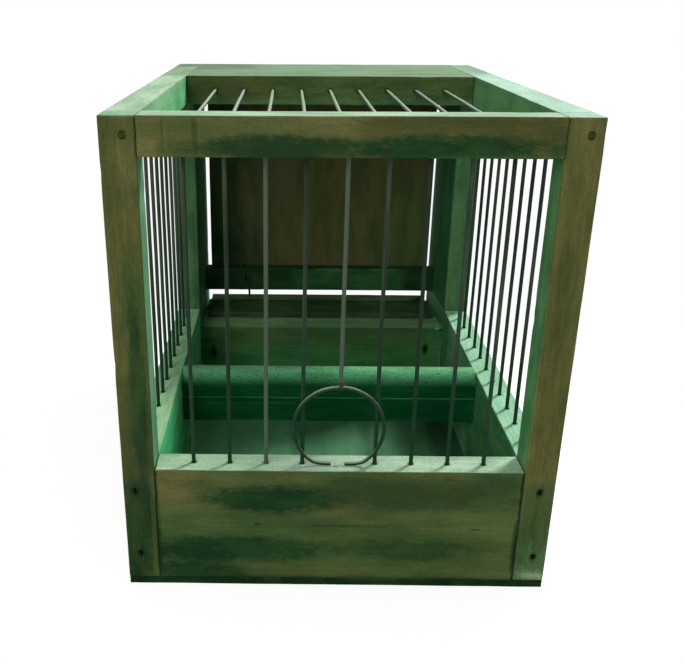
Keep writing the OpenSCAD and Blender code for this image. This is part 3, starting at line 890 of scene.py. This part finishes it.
def boxSkin(stations):  # grid of points on the six faces of a box
    index, points, faces = {}, [], []

    def corner(place):
        if place not in index:
            index[place] = len(points)
            points.append([stations[axis][place[axis]] for axis in range(3)])
        return index[place]

    counts = [len(row) - 1 for row in stations]
    for axis in range(3):
        u, v = (axis + 1) % 3, (axis + 2) % 3
        for end in (0, counts[axis]):
            for a in range(counts[u]):
                for b in range(counts[v]):
                    quad = []
                    for da, db in ((0, 0), (1, 0), (1, 1), (0, 1)):
                        place = [0, 0, 0]
                        place[axis], place[u], place[v] = end, a + da, b + db
                        quad.append(corner(tuple(place)))
                    faces.append(quad if end else quad[::-1])
    return np.array(points), faces


def roundedPoints(points, low, high, board):  # soft edges, slight hollows and small nicks
    look, seed = edgeLook, board["seed"] * edgeLook["seedShift"]
    least, deepest = look["nickDepth"]
    wave = np.array([fieldNoise.noise(Vector(point * look["radiusWave"] + seed)) for point in points])
    hollow = np.array([fieldNoise.noise(Vector(point * look["hollowWave"] - seed)) for point in points])
    radius = (look["radius"] * (1 + look["radiusSwing"] * wave))[:, None]
    inner = np.clip(points, low + radius, high - radius)
    outward = points - inner
    outward /= np.linalg.norm(outward, axis=1)[:, None]
    shaped = inner + outward * radius
    shaped -= outward * (look["uneven"] * (0.5 + 0.5 * hollow))[:, None]
    chance = random.Random(board["seed"])
    for _ in range(look["nicks"]):
        spot = [low[k] if chance.random() < 0.5 else high[k] for k in range(3)]
        axis = board["grain"] if chance.random() < look["onGrainEdge"] else chance.randrange(3)
        spot[axis] = chance.uniform(low[axis], high[axis])
        reach = chance.uniform(*look["nickReach"])
        away = np.linalg.norm((points - spot) * onAxis(axis, look["nickStretch"], 1.0), axis=1) / reach
        depth = deepest * chance.uniform(least, 1.0) * np.clip(1 - away, 0, 1) ** 2
        shaped -= outward * depth[:, None]
    if "plies" in board:
        shaped = plyEdges(points, shaped, outward, low, high, board["plies"])
    return shaped


def plyEdges(points, shaped, outward, low, high, plies):  # grooves between the plies along the edges
    thin = int(np.argmin(high - low))
    share = (points[:, thin] - low[thin]) / (high[thin] - low[thin]) * plies
    border = np.round(share)
    groove = (np.abs(share - border) < plyLook["halfWidth"]) & (border > 0) & (border < plies)
    layer = np.clip(share.astype(int), 0, plies - 1)
    step = np.array(plyLook["steps"])[layer] + plyLook["groove"] * groove
    sideways = outward.copy()
    sideways[:, thin] = 0
    return shaped - sideways * step[:, None]


def straightBox(low, high):  # the box that a tapered board would fill if the sides ran straight
    low, high = low.copy(), high.copy()
    inside, outside = drawnSlack
    for corner in (low, high):
        if innerSide - inside < abs(corner[0]) < innerSide + outside:
            corner[0] = math.copysign(innerSide, corner[0])
    return low, high


def drawnIn(points):  # a straight board's points where the sides draw in
    depth = np.clip((points[:, 1] - drawnFrom) / (drawnTo - drawnFrom), 0, 1)
    share = np.clip(1 - np.abs(np.abs(points[:, 0]) - innerSide) / sideWidth, 0, 1)
    reach = np.where(points[:, 0] < 0, drawnLeft, drawnRight)
    shaped = points.copy()
    shaped[:, 0] -= np.sign(points[:, 0]) * reach * depth * share
    return shaped


def pieceName(node):
    words = node.split("_")
    return words[0] + "".join(word.capitalize() for word in words[1:])


# where the nails and bars enter the wood, in mm
nailGroups = {  # axis and way that the heads face
    "post_nails": (1, -1), "side_nails_left": (0, -1), "side_nails_right": (0, 1), "base_nails": (2, -1),
    "shelf_nails": (1, -1)}
barNames = [f"front_bar_{k}" for k in range(1, 10)]
topBarNames = [f"top_bar_{k}" for k in range(1, 10)]
headSunk = 0.4  # from the wood's surface to a head
faceSlack = 0.1  # between the head of a nail and the face that it belongs to
cutterLook = {
    "pit": {"radius": 1.72, "depth": 1.25, "rim": 0.15, "sides": 18, "lumps": 0.12, "seed": 4},
    "bore": {"radius": 1.02, "depth": 7.0, "rim": 0.4, "sides": 18, "lumps": 0.12, "seed": 4},
}
cutterAbove = (0.05, 0.8)  # heights of the widest part of a cutter, over the wood


def headSpots(node, axis, way):  # middle of each nail's head, on the surface of the wood
    spots = []
    for low, high in looseParts(node):
        spot = (low + high) / 2
        spot[axis] = (high if way > 0 else low)[axis] + way * headSunk
        spots.append(spot)
    return spots


nailSpots = {group: headSpots(group, *facing) for group, facing in nailGroups.items()}
barBoxes = [boxOf(name) for name in barNames]
topBoxes = [boxOf(name) for name in topBarNames]
sideBoxes = {side: looseParts("side_bars_" + side) for side in ("left", "right")}


def within(spot, low, high, axis):  # seen along an axis
    return all(low[k] < spot[k] < high[k] for k in range(3) if k != axis)


def boreSpots(low, high):  # (places, facing) of the bars that go into a board
    found = []
    for boxes, axis in ((barBoxes, 2), (sideBoxes["left"] + sideBoxes["right"], 2), (topBoxes, 1)):
        for way in (-1, 1):
            spots = []
            for start, end in boxes:
                spot = (start + end) / 2
                spot[axis] = (high if way > 0 else low)[axis]
                tip = (start if way > 0 else end)[axis]
                if within(spot, low, high, axis) and low[axis] < tip < high[axis]:
                    spots.append(spot)
            if spots:
                found.append((spots, onAxis(axis, way)))
    return found


def pitSpots(low, high):  # (places, facing) of the nail heads in a board
    found = []
    for group, (axis, way) in nailGroups.items():
        face = (high if way > 0 else low)[axis]
        spots = [spot for spot in nailSpots[group]
                 if abs(spot[axis] - face) < faceSlack and within(spot, low, high, axis)]
        if spots:
            found.append((spots, onAxis(axis, way)))
    return found


def cutterOf(kind):
    look = cutterLook[kind]
    radius, depth, rim = look["radius"], look["depth"], look["rim"]
    profile = [(radius, -depth), (radius, -rim)] + [(radius + rim, height) for height in cutterAbove]
    return sourceOf(kind + "Cutter", lathe(kind + "Cutter", profile, look))


def makeBoard(node, board):
    low, high = boxOf(node)
    if "tapered" in board:
        low, high = straightBox(low, high)
    stations = [stationsAlong(*ends, edgeLook["radius"], edgeLook["pitch"]) for ends in zip(low, high)]
    if "plies" in board:
        thin = int(np.argmin(high - low))
        extra = [low[thin] + (high[thin] - low[thin]) * (ply + shift) / board["plies"]
                 for ply in range(1, board["plies"]) for shift in plyLook["stations"]]
        stations[thin] = sorted(stations[thin] + extra)
    points, faces = boxSkin(stations)
    points = roundedPoints(points, low, high, board)
    if "tapered" in board:
        points = drawnIn(points)
    entries = {"bore": boreSpots(low, high), "pit": pitSpots(low, high)}
    bores, pits = ([spot for spots, _ in groups for spot in spots] for groups in entries.values())
    name = pieceName(node)
    finish = woodMaterial(name + "Wood", board, low, high, pits, bores)
    source = sourceOf(name + "Source", meshOf(name, points * mm, faces, finish))
    helpers = []
    for kind, groups in entries.items():
        for spots, facing in groups:
            helper = sourceOf(name + "Places", meshOf(name + "Places", np.array(spots) * mm))
            grow(source, trees["drill"], Places=helper, Unit=cutters[kind], Facing=facing, Finish=finish)
            helpers.append(helper)
    mesh = bakedMesh(source)
    for helper in helpers:
        bpy.data.objects.remove(helper)
    keep(name, mesh, board.get("body", "cage"), board.get("slot", slotOf[node]), [node])


cutters = {kind: cutterOf(kind) for kind in cutterLook}
slotOf = {part["node"]: part["material_slot"] for part in frame["record"]["subparts"]}
for node, board in boards.items():
    makeBoard(node, board)
for cutter in cutters.values():
    bpy.data.objects.remove(cutter)
print("boards made:", len(boards))

# perch

# bottle on the front, sea on the top: the top lighter than the front is painted light and painted shade; the
# apple zone along the crest is a painted highlight
perch = {
    "grain": 0, "seed": 31, "tone": "bottle", "worn": 0.0, "flecks": 0.8, "gloss": 0.06, "rough": 0.5,
    "fleckTone": (0.006, 0.060, 0.020), "fleckRange": (0.51, 0.68), "zoneRagged": 0.3,
    "zones": [("sea", (-90, -60, 60.8), (90, 20, 80), 0.95, 8),
              ("apple", (-90, -60, 64.2), (90, 20, 80), 0.4, 3)],
    "endRound": 0.5, "spacing": 3.5, "uneven": 0.14,  # mm
    "wave": (0.035, 0.13),  # hollows in a mm along and across
    "arcPoints": 34, "flatPoints": (-0.985, -0.9, -0.5, 0, 0.5, 0.9, 0.985), "footRise": 0.15}


def makePerch():
    low, high = boxOf("perch_cap")
    half = (high[1] - low[1]) / 2
    middle, top = (low[1] + high[1]) / 2, high[2] - half
    foot, waist = low[2] + perch["footRise"], (low[2] + top) / 2
    outline = [(middle + half * share, low[2]) for share in perch["flatPoints"]]
    outline += [(high[1], foot), (high[1], waist)]
    for k in range(perch["arcPoints"] + 1):
        angle = math.pi * k / perch["arcPoints"]
        outline.append((middle + half * math.cos(angle), top + half * math.sin(angle)))
    outline += [(low[1], waist), (low[1], foot)]
    centre = np.array([middle, waist])
    along, across = perch["wave"]
    rings = []
    for x in stationsAlong(low[0], high[0], perch["endRound"], perch["spacing"]):
        gap = max(0.0, perch["endRound"] - min(x - low[0], high[0] - x))
        inset = perch["endRound"] - math.sqrt(perch["endRound"] ** 2 - gap ** 2)
        ring = []
        for y, z in outline:
            away = np.array([y, z]) - centre
            dip = 0.5 + 0.5 * fieldNoise.noise(Vector((x * along, y * across, z * across)))
            y, z = centre + away * (1 - (inset + perch["uneven"] * dip) / np.linalg.norm(away))
            ring.append((x, y, max(z, low[2])))
        rings.append(ring)
    finish = woodMaterial("perchCapWood", perch, low, high)
    keep("perchCap", loft("perchCap", rings, finish), "cage", "green_wood", ["perch_cap"])


makePerch()
print("perch made")

# wires

wireLook = {
    "tone": (0.058, 0.084, 0.056), "dull": (0.016, 0.028, 0.016), "rust": (0.030, 0.024, 0.011),
    "lines": (3.2, 3.0, 0.6, 0.3, 0.7),  # each noise: scale, detail, roughness and range
    "tarnish": (0.10, 4.0, 0.65, 0.34, 0.60),
    "freckles": (1.3, 3.0, 0.6, 0.60, 0.74),
    "smears": (0.16, 4.0, 0.65, 0.35, 0.6),
    "stretch": 0.05,  # of the lines along a straight wire
    "lineShades": (0.86, 0.28),  # darkest, and what the lines add
    "paint": (0.004, 0.032, 0.011), "paintFrom": 175.0, "paintTo": 80.0,  # heights in mm
    "paintShare": (0.72, 0.26),  # least share, and what the smears add
    "bright": (0.330, 0.430, 0.310), "barShine": 0.18,
    "shineReach": (2.4, 1.6),  # mm from the middle of a bar with a painted highlight
    "freckled": 0.45,
    "stainReach": (5.0, 1.5), "stained": 0.9,  # round a soldered joint
    # upperSheen: a painted highlight, lighter where a wire faces up
    "upperSheenFrom": (0.25, 0.85), "upperSheenShare": (0.6, 0.4), "upperSheen": 0.0,
    "metallic": 0.22, "freckleDulls": 0.25, "paintDulls": 0.28,
    "rough": 0.50, "roughened": 0.2, "gloss": 0.12,
    "lineHeight": 0.4, "freckleDepth": 0.6, "bump": (0.35, 0.1)}  # strength and mm
wireFinishes = {  # what each sort of wire has otherwise, with the axis of a straight one
    "steelUpright": {"along": 2, "painted": True},
    "steelAlong": {"along": 1, "gloss": 0.3, "upperSheen": 0.8},
    "steelBent": {"stainAt": tuple(middleOf("ring_solder")), "painted": True, "rough": 0.2, "upperSheen": 0.8},
    "steelStained": {"painted": True},
}
# bars 3 and 5 are painted lighter: a painted highlight
shineBars = [middleOf(f"front_bar_{k}") for k in (3, 5)]


def wireMaterial(name):
    look = {**wireLook, **wireFinishes[name]}
    net = shaderNet(name)
    place = net.place()
    drawn = place
    if "along" in look:
        drawn = net.vector("MULTIPLY", place, onAxis(look["along"], look["stretch"], 1.0))
    lines = net.blotches(drawn, *look["lines"])
    tarnish = net.blotches(drawn, *look["tarnish"])
    freckles = net.blotches(place, *look["freckles"])
    colour = net.mix(tarnish, solid(look["tone"]), solid(look["dull"]))
    rusty = freckles * look["freckled"]
    if "stainAt" in look:
        stain = nearShare(net, place, [look["stainAt"]], (1.0, 1.0, 1.0), *look["stainReach"])
        rusty = rusty.math("MAXIMUM", stain * look["stained"])
    colour = net.mix(rusty, colour, solid(look["rust"]))
    darkest, added = look["lineShades"]
    colour = net.scale(colour, darkest + lines * added)
    metallic = look["metallic"] - freckles * look["freckleDulls"]
    if "painted" in look:  # the wood's green stain, thicker towards the foot; bars 3 and 5 then get a painted highlight
        least, added = look["paintShare"]
        smear = net.ease(net.split(place)[2], look["paintFrom"], look["paintTo"])
        smear = smear * (least + added * net.blotches(place, *look["smears"]))
        colour = net.mix(smear, colour, solid(look["paint"]))
        metallic = metallic - smear * look["paintDulls"]
        # painted highlight on bars 3 and 5
        shine = nearShare(net, place, shineBars, (1.0, 1.0, 0.0), *look["shineReach"])
        colour = net.mix(shine * look["barShine"], colour, solid(look["bright"]))
    if look["upperSheen"]:  # painted highlight, lighter where the wire faces up
        upper = net.split(net.add("ShaderNodeTexCoord", output=1))[2]
        least, added = look["upperSheenShare"]
        bare = net.ease(upper, *look["upperSheenFrom"]) * (least + added * lines)
        colour = net.mix(bare * look["upperSheen"], colour, solid(look["bright"]))
    rough = look["rough"] + tarnish * look["roughened"] + freckles * look["roughened"]
    height = lines * look["lineHeight"] - freckles * look["freckleDepth"]
    normal = bumped(net, height, *look["bump"])
    return closeShader(net, colour, rough, normal, look["gloss"], metallic)


wires = {name: wireMaterial(name) for name in wireFinishes}
barLook = {"wobble": 0.22, "trim": 0.4}  # mm


def fromFront(boxes):
    return sorted(boxes, key=lambda box: box[0][1])


barRows = {  # nodes, boxes, axis, seed and finish
    "frontBarsLeft": (barNames[:4], barBoxes[:4], 2, 3, "steelUpright"),
    "frontBarMiddle": (barNames[4:5], barBoxes[4:5], 2, 4, "steelUpright"),
    "frontBarsRight": (barNames[5:], barBoxes[5:], 2, 5, "steelUpright"),
    "topBars": (topBarNames, topBoxes, 1, 6, "steelAlong"),
    "sideBarsLeft": (["side_bars_left"], fromFront(sideBoxes["left"]), 2, 7, "steelUpright"),
    "sideBarsRight": (["side_bars_right"], fromFront(sideBoxes["right"]), 2, 8, "steelUpright"),
}


def makeBars(name, names, boxes, axis, seed, finish):
    starts = [(low + high) / 2 for low, high in boxes]
    for start, (low, high) in zip(starts, boxes):
        start[axis] = low[axis] + barLook["trim"]
    step = (starts[-1] - starts[0]) / max(1, len(starts) - 1)
    first, last = boxes[0]
    run = np.array(onAxis(axis, last[axis] - first[axis] - 2 * barLook["trim"]))
    other = (axis + 1) % 3
    radius = (last[other] - first[other]) / 2
    source = sourceOf(name + "Source", meshOf(name, []))
    grow(source, trees["barRow"], Count=len(starts), Start=tuple(starts[0] * mm), Step=tuple(step * mm),
         Run=tuple(run * mm), Radius=float(radius * mm), Wobble=barLook["wobble"] * mm, Seed=seed,
         Finish=finish)
    keep(name, bakedMesh(source), "cage", "wire", names)


def curveSource(name, routes, finish):  # routes in mm
    curve = bpy.data.curves.new(name, "CURVE")
    curve.dimensions = "3D"
    curve.materials.append(finish)
    for route in routes:
        spline = curve.splines.new("POLY")
        spline.points.add(len(route) - 1)
        for point, place in zip(spline.points, route):
            point.co = (*(np.array(place) * mm), 1)
    return sourceOf(name, curve)


def softened(route, times):  # corners cut off, ends kept
    route = [np.array(point, float) for point in route]
    for _ in range(times):
        cut = [route[0]]
        for a, b in zip(route, route[1:]):
            cut += [a * 0.75 + b * 0.25, a * 0.25 + b * 0.75]
        route = cut + [route[-1]]
    return route


def makeWire(node, body, routes, look, finish):
    name = pieceName(node)
    source = curveSource(name + "Source", routes, finish)
    grow(source, trees["wire"], Radius=look["radius"] * mm, Spacing=look["spacing"] * mm,
         Wobble=look["wobble"] * mm, Sides=look["sides"], Finish=finish)
    keep(name, bakedMesh(source), body, "wire", [node])


ringLook = {  # mm, and shares of the solid's wire and radius
    "spacing": 0.8, "wobble": 0.35, "sides": 16, "slim": 0.92, "gap": 3.2, "flat": 0.8, "arcPoints": 72,
    "smooth": 3}


def makeRing(finish):
    low, high = boxOf("feeding_ring")
    wire = (high[1] - low[1]) / 2
    radius = (high[0] - low[0]) / 2 - wire
    middle = np.array([(low[0] + high[0]) / 2, (low[1] + high[1]) / 2, high[2] - wire - radius])
    drop = low[2] + wire - middle[2]
    start = math.asin(-drop / radius)
    foot = [(ringLook["gap"], 0, drop), (radius * math.cos(start) * ringLook["flat"], 0, drop)]
    arc = []
    for k in range(1, ringLook["arcPoints"]):
        angle = -start + (math.pi + 2 * start) * k / ringLook["arcPoints"]
        arc.append((radius * math.cos(angle), 0, radius * math.sin(angle)))
    otherFoot = [(-x, y, z) for x, y, z in reversed(foot)]
    route = [middle + np.array(point) for point in foot + arc + otherFoot]
    look = {**ringLook, "radius": float(wire) * ringLook["slim"]}
    makeWire("feeding_ring", "cage", [softened(route, ringLook["smooth"])], look, finish)


latchLook = {  # mm and degrees
    "radius": 0.78, "loop": 1.76, "loopPoints": 27, "lean": 16.0, "arm": 20.8, "tail": 15.5, "tailLean": 3.0,
    "bow": 0.25, "bowAt": 0.45, "hookShort": 0.1, "clear": 0.02, "tailClear": 0.05,
    "tailStart": (-0.5, 0, 0.9), "tailKnee": 0.6, "armSmooth": 3, "tailSmooth": 2,
    "spacing": 0.45, "wobble": 0.12, "sides": 14}


def makeLatch(finish):
    low, high = boxOf("wire_latch")
    pin = middleOf("latch_nail")
    look = latchLook
    lean, tailLean = math.radians(look["lean"]), math.radians(look["tailLean"])
    up = np.array([-math.sin(lean), 0, math.cos(lean)])
    side = np.array([math.cos(lean), 0, math.sin(lean)])
    hub = np.array([pin[0], low[1] + look["radius"] + look["clear"], pin[2]])
    armFoot = hub - side * look["loop"]
    armTop = armFoot + up * look["arm"]
    hookTip = armTop + np.array([0, high[1] - hub[1] - look["hookShort"], 0])
    bowed = armTop * look["bowAt"] + armFoot * (1 - look["bowAt"]) + side * look["bow"]
    arm = [hookTip, armTop, bowed, armFoot]
    eye = []
    for k in range(1, look["loopPoints"]):
        angle = math.pi + lean + math.tau * k / look["loopPoints"]
        eye.append(hub + look["loop"] * np.array([math.cos(angle), 0, math.sin(angle)]))
    tailTop = hub + look["loop"] * np.array([math.cos(tailLean), 0, math.sin(tailLean)])
    tailEnd = tailTop + look["tail"] * np.array([math.sin(tailLean), 0, -math.cos(tailLean)])
    tailEnd[2] = max(tailEnd[2], low[2] + look["tailClear"])
    knee = tailTop * (1 - look["tailKnee"]) + tailEnd * look["tailKnee"]
    tail = softened([tailTop + np.array(look["tailStart"]), tailTop, knee, tailEnd], look["tailSmooth"])
    makeWire("wire_latch", "latch", [softened(arm, look["armSmooth"]) + eye, tail], look, finish)


for name, (names, boxes, axis, seed, finish) in barRows.items():
    makeBars(name, names, boxes, axis, seed, wires[finish])
makeRing(wires["steelBent"])
makeLatch(wires["steelStained"])
print("wires made")

# nails

ironLook = {
    "tone": (0.040, 0.055, 0.022), "rust": (0.024, 0.038, 0.014), "core": (0.001, 0.007, 0.001),
    "stained": (0.085, 0.090, 0.028), "rough": 0.9, "crustRough": 0.1,
    "crust": (1.9, 4.0, 0.65, 0.38, 0.62),  # each noise: scale, detail, roughness and range
    "wander": (0.5, 3.0, 0.6), "grain": (3.5, 3.0, 0.6),
    "bump": (0.6, 0.15),  # strength and mm
    "coreShare": (0.3, 0.7),  # under full paint, and what a bare head adds
    "coreSqueeze": (1.3, 0.2, 0.5), "coreReach": (1.6, 0.5)}  # mm from the middle of a head
nailLook = {
    "headRadius": 1.6, "headDepth": 0.8, "shank": 0.8, "length": 29.4, "point": 2.6, "sunk": 0.45,  # mm
    "tip": 0.12,
    "pointShape": ((0.55, 0.5), (0.97, 1)),  # shares of the shank's radius and of the point
    "neckShape": ((0.97, 1.5), (1, 0.5), (1.15, 0)),  # share of the shank's radius, and mm below the head
    "rimShape": ((0.86, 0.8), (0.98, 0.55), (0.97, 0.25)),  # shares of the head's radius and depth
    "crownShape": ((0.85, 0.06), (0.5, 0.0), (0.2, 0.02)),  # share of the head's radius, and mm down
    "sides": 16, "lumps": 0.06, "seed": 2}
latchNailLook = {**nailLook, "shank": 0.88, "point": 1.8}
coredGroups = ("post_nails", "shelf_nails")


def ironMaterial(name, spots=()):  # spots: heads with a black core under old paint
    look = ironLook
    net = shaderNet(name)
    place = net.place()
    crust = net.blotches(place, *look["crust"])
    colour = net.mix(crust, solid(look["tone"]), solid(look["rust"]))
    if len(spots):
        there = net.vector("MULTIPLY_ADD", net.drift(place, *look["wander"]), (1.0, 0.0, 1.0), place)
        core = nearShare(net, there, spots, look["coreSqueeze"], *look["coreReach"])
        bare = bareShare(net, net.split(place)[2])
        least, added = look["coreShare"]
        colour = net.mix(bare, solid(look["stained"]), colour)
        colour = net.mix(core * (least + added * bare), colour, solid(look["core"]))
    normal = bumped(net, net.cloud(place, *look["grain"]), *look["bump"])
    return closeShader(net, colour, look["rough"] + crust * look["crustRough"], normal, 0.0)


def nailUnit(name, look, finish):  # head up at z = 0
    head, depth, shank, end = look["headRadius"], look["headDepth"], look["shank"], look["length"]
    profile = [(look["tip"], -end)]
    profile += [(shank * share, -end + look["point"] * up) for share, up in look["pointShape"]]
    profile += [(shank * share, -depth - down) for share, down in look["neckShape"]]
    profile += [(head * share, -depth * down) for share, down in look["rimShape"]]
    profile += [(head * share, -down) for share, down in look["crownShape"]]
    return sourceOf(name, lathe(name, profile, look, finish))


def studded(name, spots, facing, unit, finish, seed):  # copies of a unit at spots in mm
    source = sourceOf(name + "Source", meshOf(name, np.array(spots) * mm))
    grow(source, trees["studs"], Unit=unit, Facing=facing, Seed=seed, Finish=finish)
    return bakedMesh(source)


def makeNails():
    cored = ironMaterial("coredIron", [spot for group in coredGroups for spot in nailSpots[group]])
    unit = nailUnit("nailUnit", nailLook, rustyIron)
    for seed, (group, (axis, way)) in enumerate(nailGroups.items()):
        facing = onAxis(axis, way)
        spots = [spot - np.array(facing) * nailLook["sunk"] for spot in nailSpots[group]]
        finish = cored if group in coredGroups else rustyIron
        mesh = studded(pieceName(group), spots, facing, unit, finish, seed)
        keep(pieceName(group), mesh, "cage", "nail_iron", [group])
    bpy.data.objects.remove(unit)


def makeLatchNail():
    low, high = boxOf("latch_nail")
    look = {**latchNailLook, "headRadius": (high[0] - low[0]) / 2, "length": high[1] - low[1]}
    dark = ironMaterial("darkIron", headSpots("latch_nail", 1, -1))
    unit = nailUnit("latchNailUnit", look, dark)
    spot = [(low[0] + high[0]) / 2, low[1], (low[2] + high[2]) / 2]
    keep("latchNail", studded("latchNail", [spot], onAxis(1, -1), unit, dark, 9), "cage", "nail_iron",
         ["latch_nail"])
    bpy.data.objects.remove(unit)


rustyIron = ironMaterial("rustyIron")
makeNails()
makeLatchNail()
for slot in nodes["door_pivot_nails"].material_slots:
    slot.material = rustyIron
print("nails made")

# solder and glue

lumpLook = {
    "patches": (0.9, 4.0, 0.6, 0.38, 0.64),  # each noise: scale, detail, roughness and range
    "pits": (3.4, 3.0, 0.6), "pitRough": 0.2, "bump": (0.5, 0.2), "gloss": 0.1,
    "swellings": 1.7, "ends": 0.03}  # share of the half turn that each flat end takes up
solderLook = {
    "tone": (0.044, 0.048, 0.024), "dark": (0.020, 0.024, 0.011), "rough": 0.45, "metallic": 0.15,
    "size": 0.88, "lumps": 0.22, "seed": 5, "rows": 14, "sides": 22}
glueLook = {
    "tone": (0.48, 0.62, 0.48), "dark": (0.30, 0.45, 0.31), "rough": 0.5, "metallic": 0.0,
    "crumb": (0.95, 0.75, 0.55), "lumps": 0.5, "seed": 8, "rows": 7, "sides": 10,
    "crumbs": 18, "scatterSeed": 12,
    "reach": (2.5, 1.2), "aside": -1.0, "heap": (0.30, 0.75), "under": 0.1}  # mm


def lumpMaterial(name, look):
    net = shaderNet(name)
    place = net.place()
    patches = net.blotches(place, *lumpLook["patches"])
    pits = net.cloud(place, *lumpLook["pits"])
    colour = net.mix(patches, solid(look["tone"]), solid(look["dark"]))
    rough = look["rough"] + pits * lumpLook["pitRough"]
    normal = bumped(net, pits, *lumpLook["bump"])
    return closeShader(net, colour, rough, normal, lumpLook["gloss"], look["metallic"])


def lumpMesh(name, radii, look, finish):
    ends = lumpLook["ends"]
    shift = Vector((look["seed"], 0, look["seed"] * 0.7))
    rings = []
    for row in range(look["rows"] + 1):
        angle = math.pi * (ends + (1 - 2 * ends) * row / look["rows"])
        ring = []
        for k in range(look["sides"]):
            turn, out = math.tau * k / look["sides"], math.sin(angle)
            way = Vector((out * math.cos(turn), out * math.sin(turn), -math.cos(angle)))
            swell = fieldNoise.noise(way * lumpLook["swellings"] + shift)
            ring.append(tuple(way[axis] * (1 + look["lumps"] * swell) * radii[axis] for axis in range(3)))
        rings.append(ring)
    return loft(name, rings, finish)


def makeSolder():
    low, high = boxOf("ring_solder")
    finish = lumpMaterial("brownSolder", solderLook)
    mesh = lumpMesh("ringSolder", (high - low) / 2 * solderLook["size"], solderLook, finish)
    points = np.clip(pointsOf(mesh) + (low + high) / 2 * mm, low * mm, high * mm)
    mesh.vertices.foreach_set("co", points.ravel())
    keep("ringSolder", mesh, "cage", "solder", ["ring_solder"])


def makeGlue():
    low, high = boxOf("ring_glue")
    look = glueLook
    finish = lumpMaterial("driedGlue", look)
    middle = (low + high) / 2
    unit = sourceOf("glueCrumb", lumpMesh("glueCrumb", look["crumb"], look, finish))
    chance = random.Random(look["scatterSeed"])
    spots = []
    for _ in range(look["crumbs"]):
        reach, turn = math.sqrt(chance.random()), chance.uniform(0, math.tau)
        spots.append((middle[0] + look["aside"] + reach * look["reach"][0] * math.cos(turn),
                      middle[1] + reach * look["reach"][1] * math.sin(turn),
                      low[2] + look["heap"][0] + look["heap"][1] * chance.random() * (1 - reach)))
    mesh = studded("ringGlue", spots, (0.0, 0.0, 1.0), unit, finish, 3)
    bpy.data.objects.remove(unit)
    points = pointsOf(mesh)
    points[:, 2] = np.maximum(points[:, 2], (low[2] - look["under"]) * mm)
    mesh.vertices.foreach_set("co", points.ravel())
    keep("ringGlue", mesh, "cage", "glue", ["ring_glue"])


makeSolder()
makeGlue()
print("solder and glue made")

# floor and sky

skyLight = 0.28
white = (1, 1, 1, 1)
floorLook = {  # metres
    "half": 4.0, "drop": 0.00005, "tone": (0.62, 0.62, 0.61, 1), "shadowReach": (0.12, 0.26), "lift": 0.67}


def makeFloor():  # white but for the shadow close to the cage
    net = shaderNet("paleFloor")
    far = net.ease(net.length(net.add("ShaderNodeTexCoord", output=3)), *floorLook["shadowReach"])
    lit = net.add("ShaderNodeBsdfDiffuse", {}, {"Color": floorLook["tone"]})
    lift = net.add("ShaderNodeEmission", {}, {"Color": white, "Strength": floorLook["lift"]})
    near = net.add("ShaderNodeAddShader", {}, {0: lit, 1: lift})
    bright = net.add("ShaderNodeEmission", {}, {"Color": white, "Strength": 1.0})
    shown = net.add("ShaderNodeMixShader", {}, {0: far, 1: near, 2: bright})
    surface = net.add("ShaderNodeMixShader", {}, {0: net.seen(), 1: lit, 2: shown})
    net.add("ShaderNodeOutputMaterial", {}, {"Surface": surface})
    half, drop = floorLook["half"], floorLook["drop"]
    corners = [(-half, -half, -drop), (half, -half, -drop), (half, half, -drop), (-half, half, -drop)]
    floor = sourceOf("floor", meshOf("floor", corners, [(0, 1, 2, 3)], net.material))


def makeSky():
    world = bpy.data.worlds.new("paleSky")
    scene.world = world
    world.use_nodes = True
    net = Net(world.node_tree)
    strength = skyLight + net.seen() * (1 - skyLight)
    light = net.add("ShaderNodeBackground", {}, {"Color": white, "Strength": strength})
    net.add("ShaderNodeOutputWorld", {}, {"Surface": light})


makeCamera()
makeLamps()
makeFloor()
makeSky()
scene.view_settings.view_transform = "Standard"
print("camera, lamps, floor and sky made")
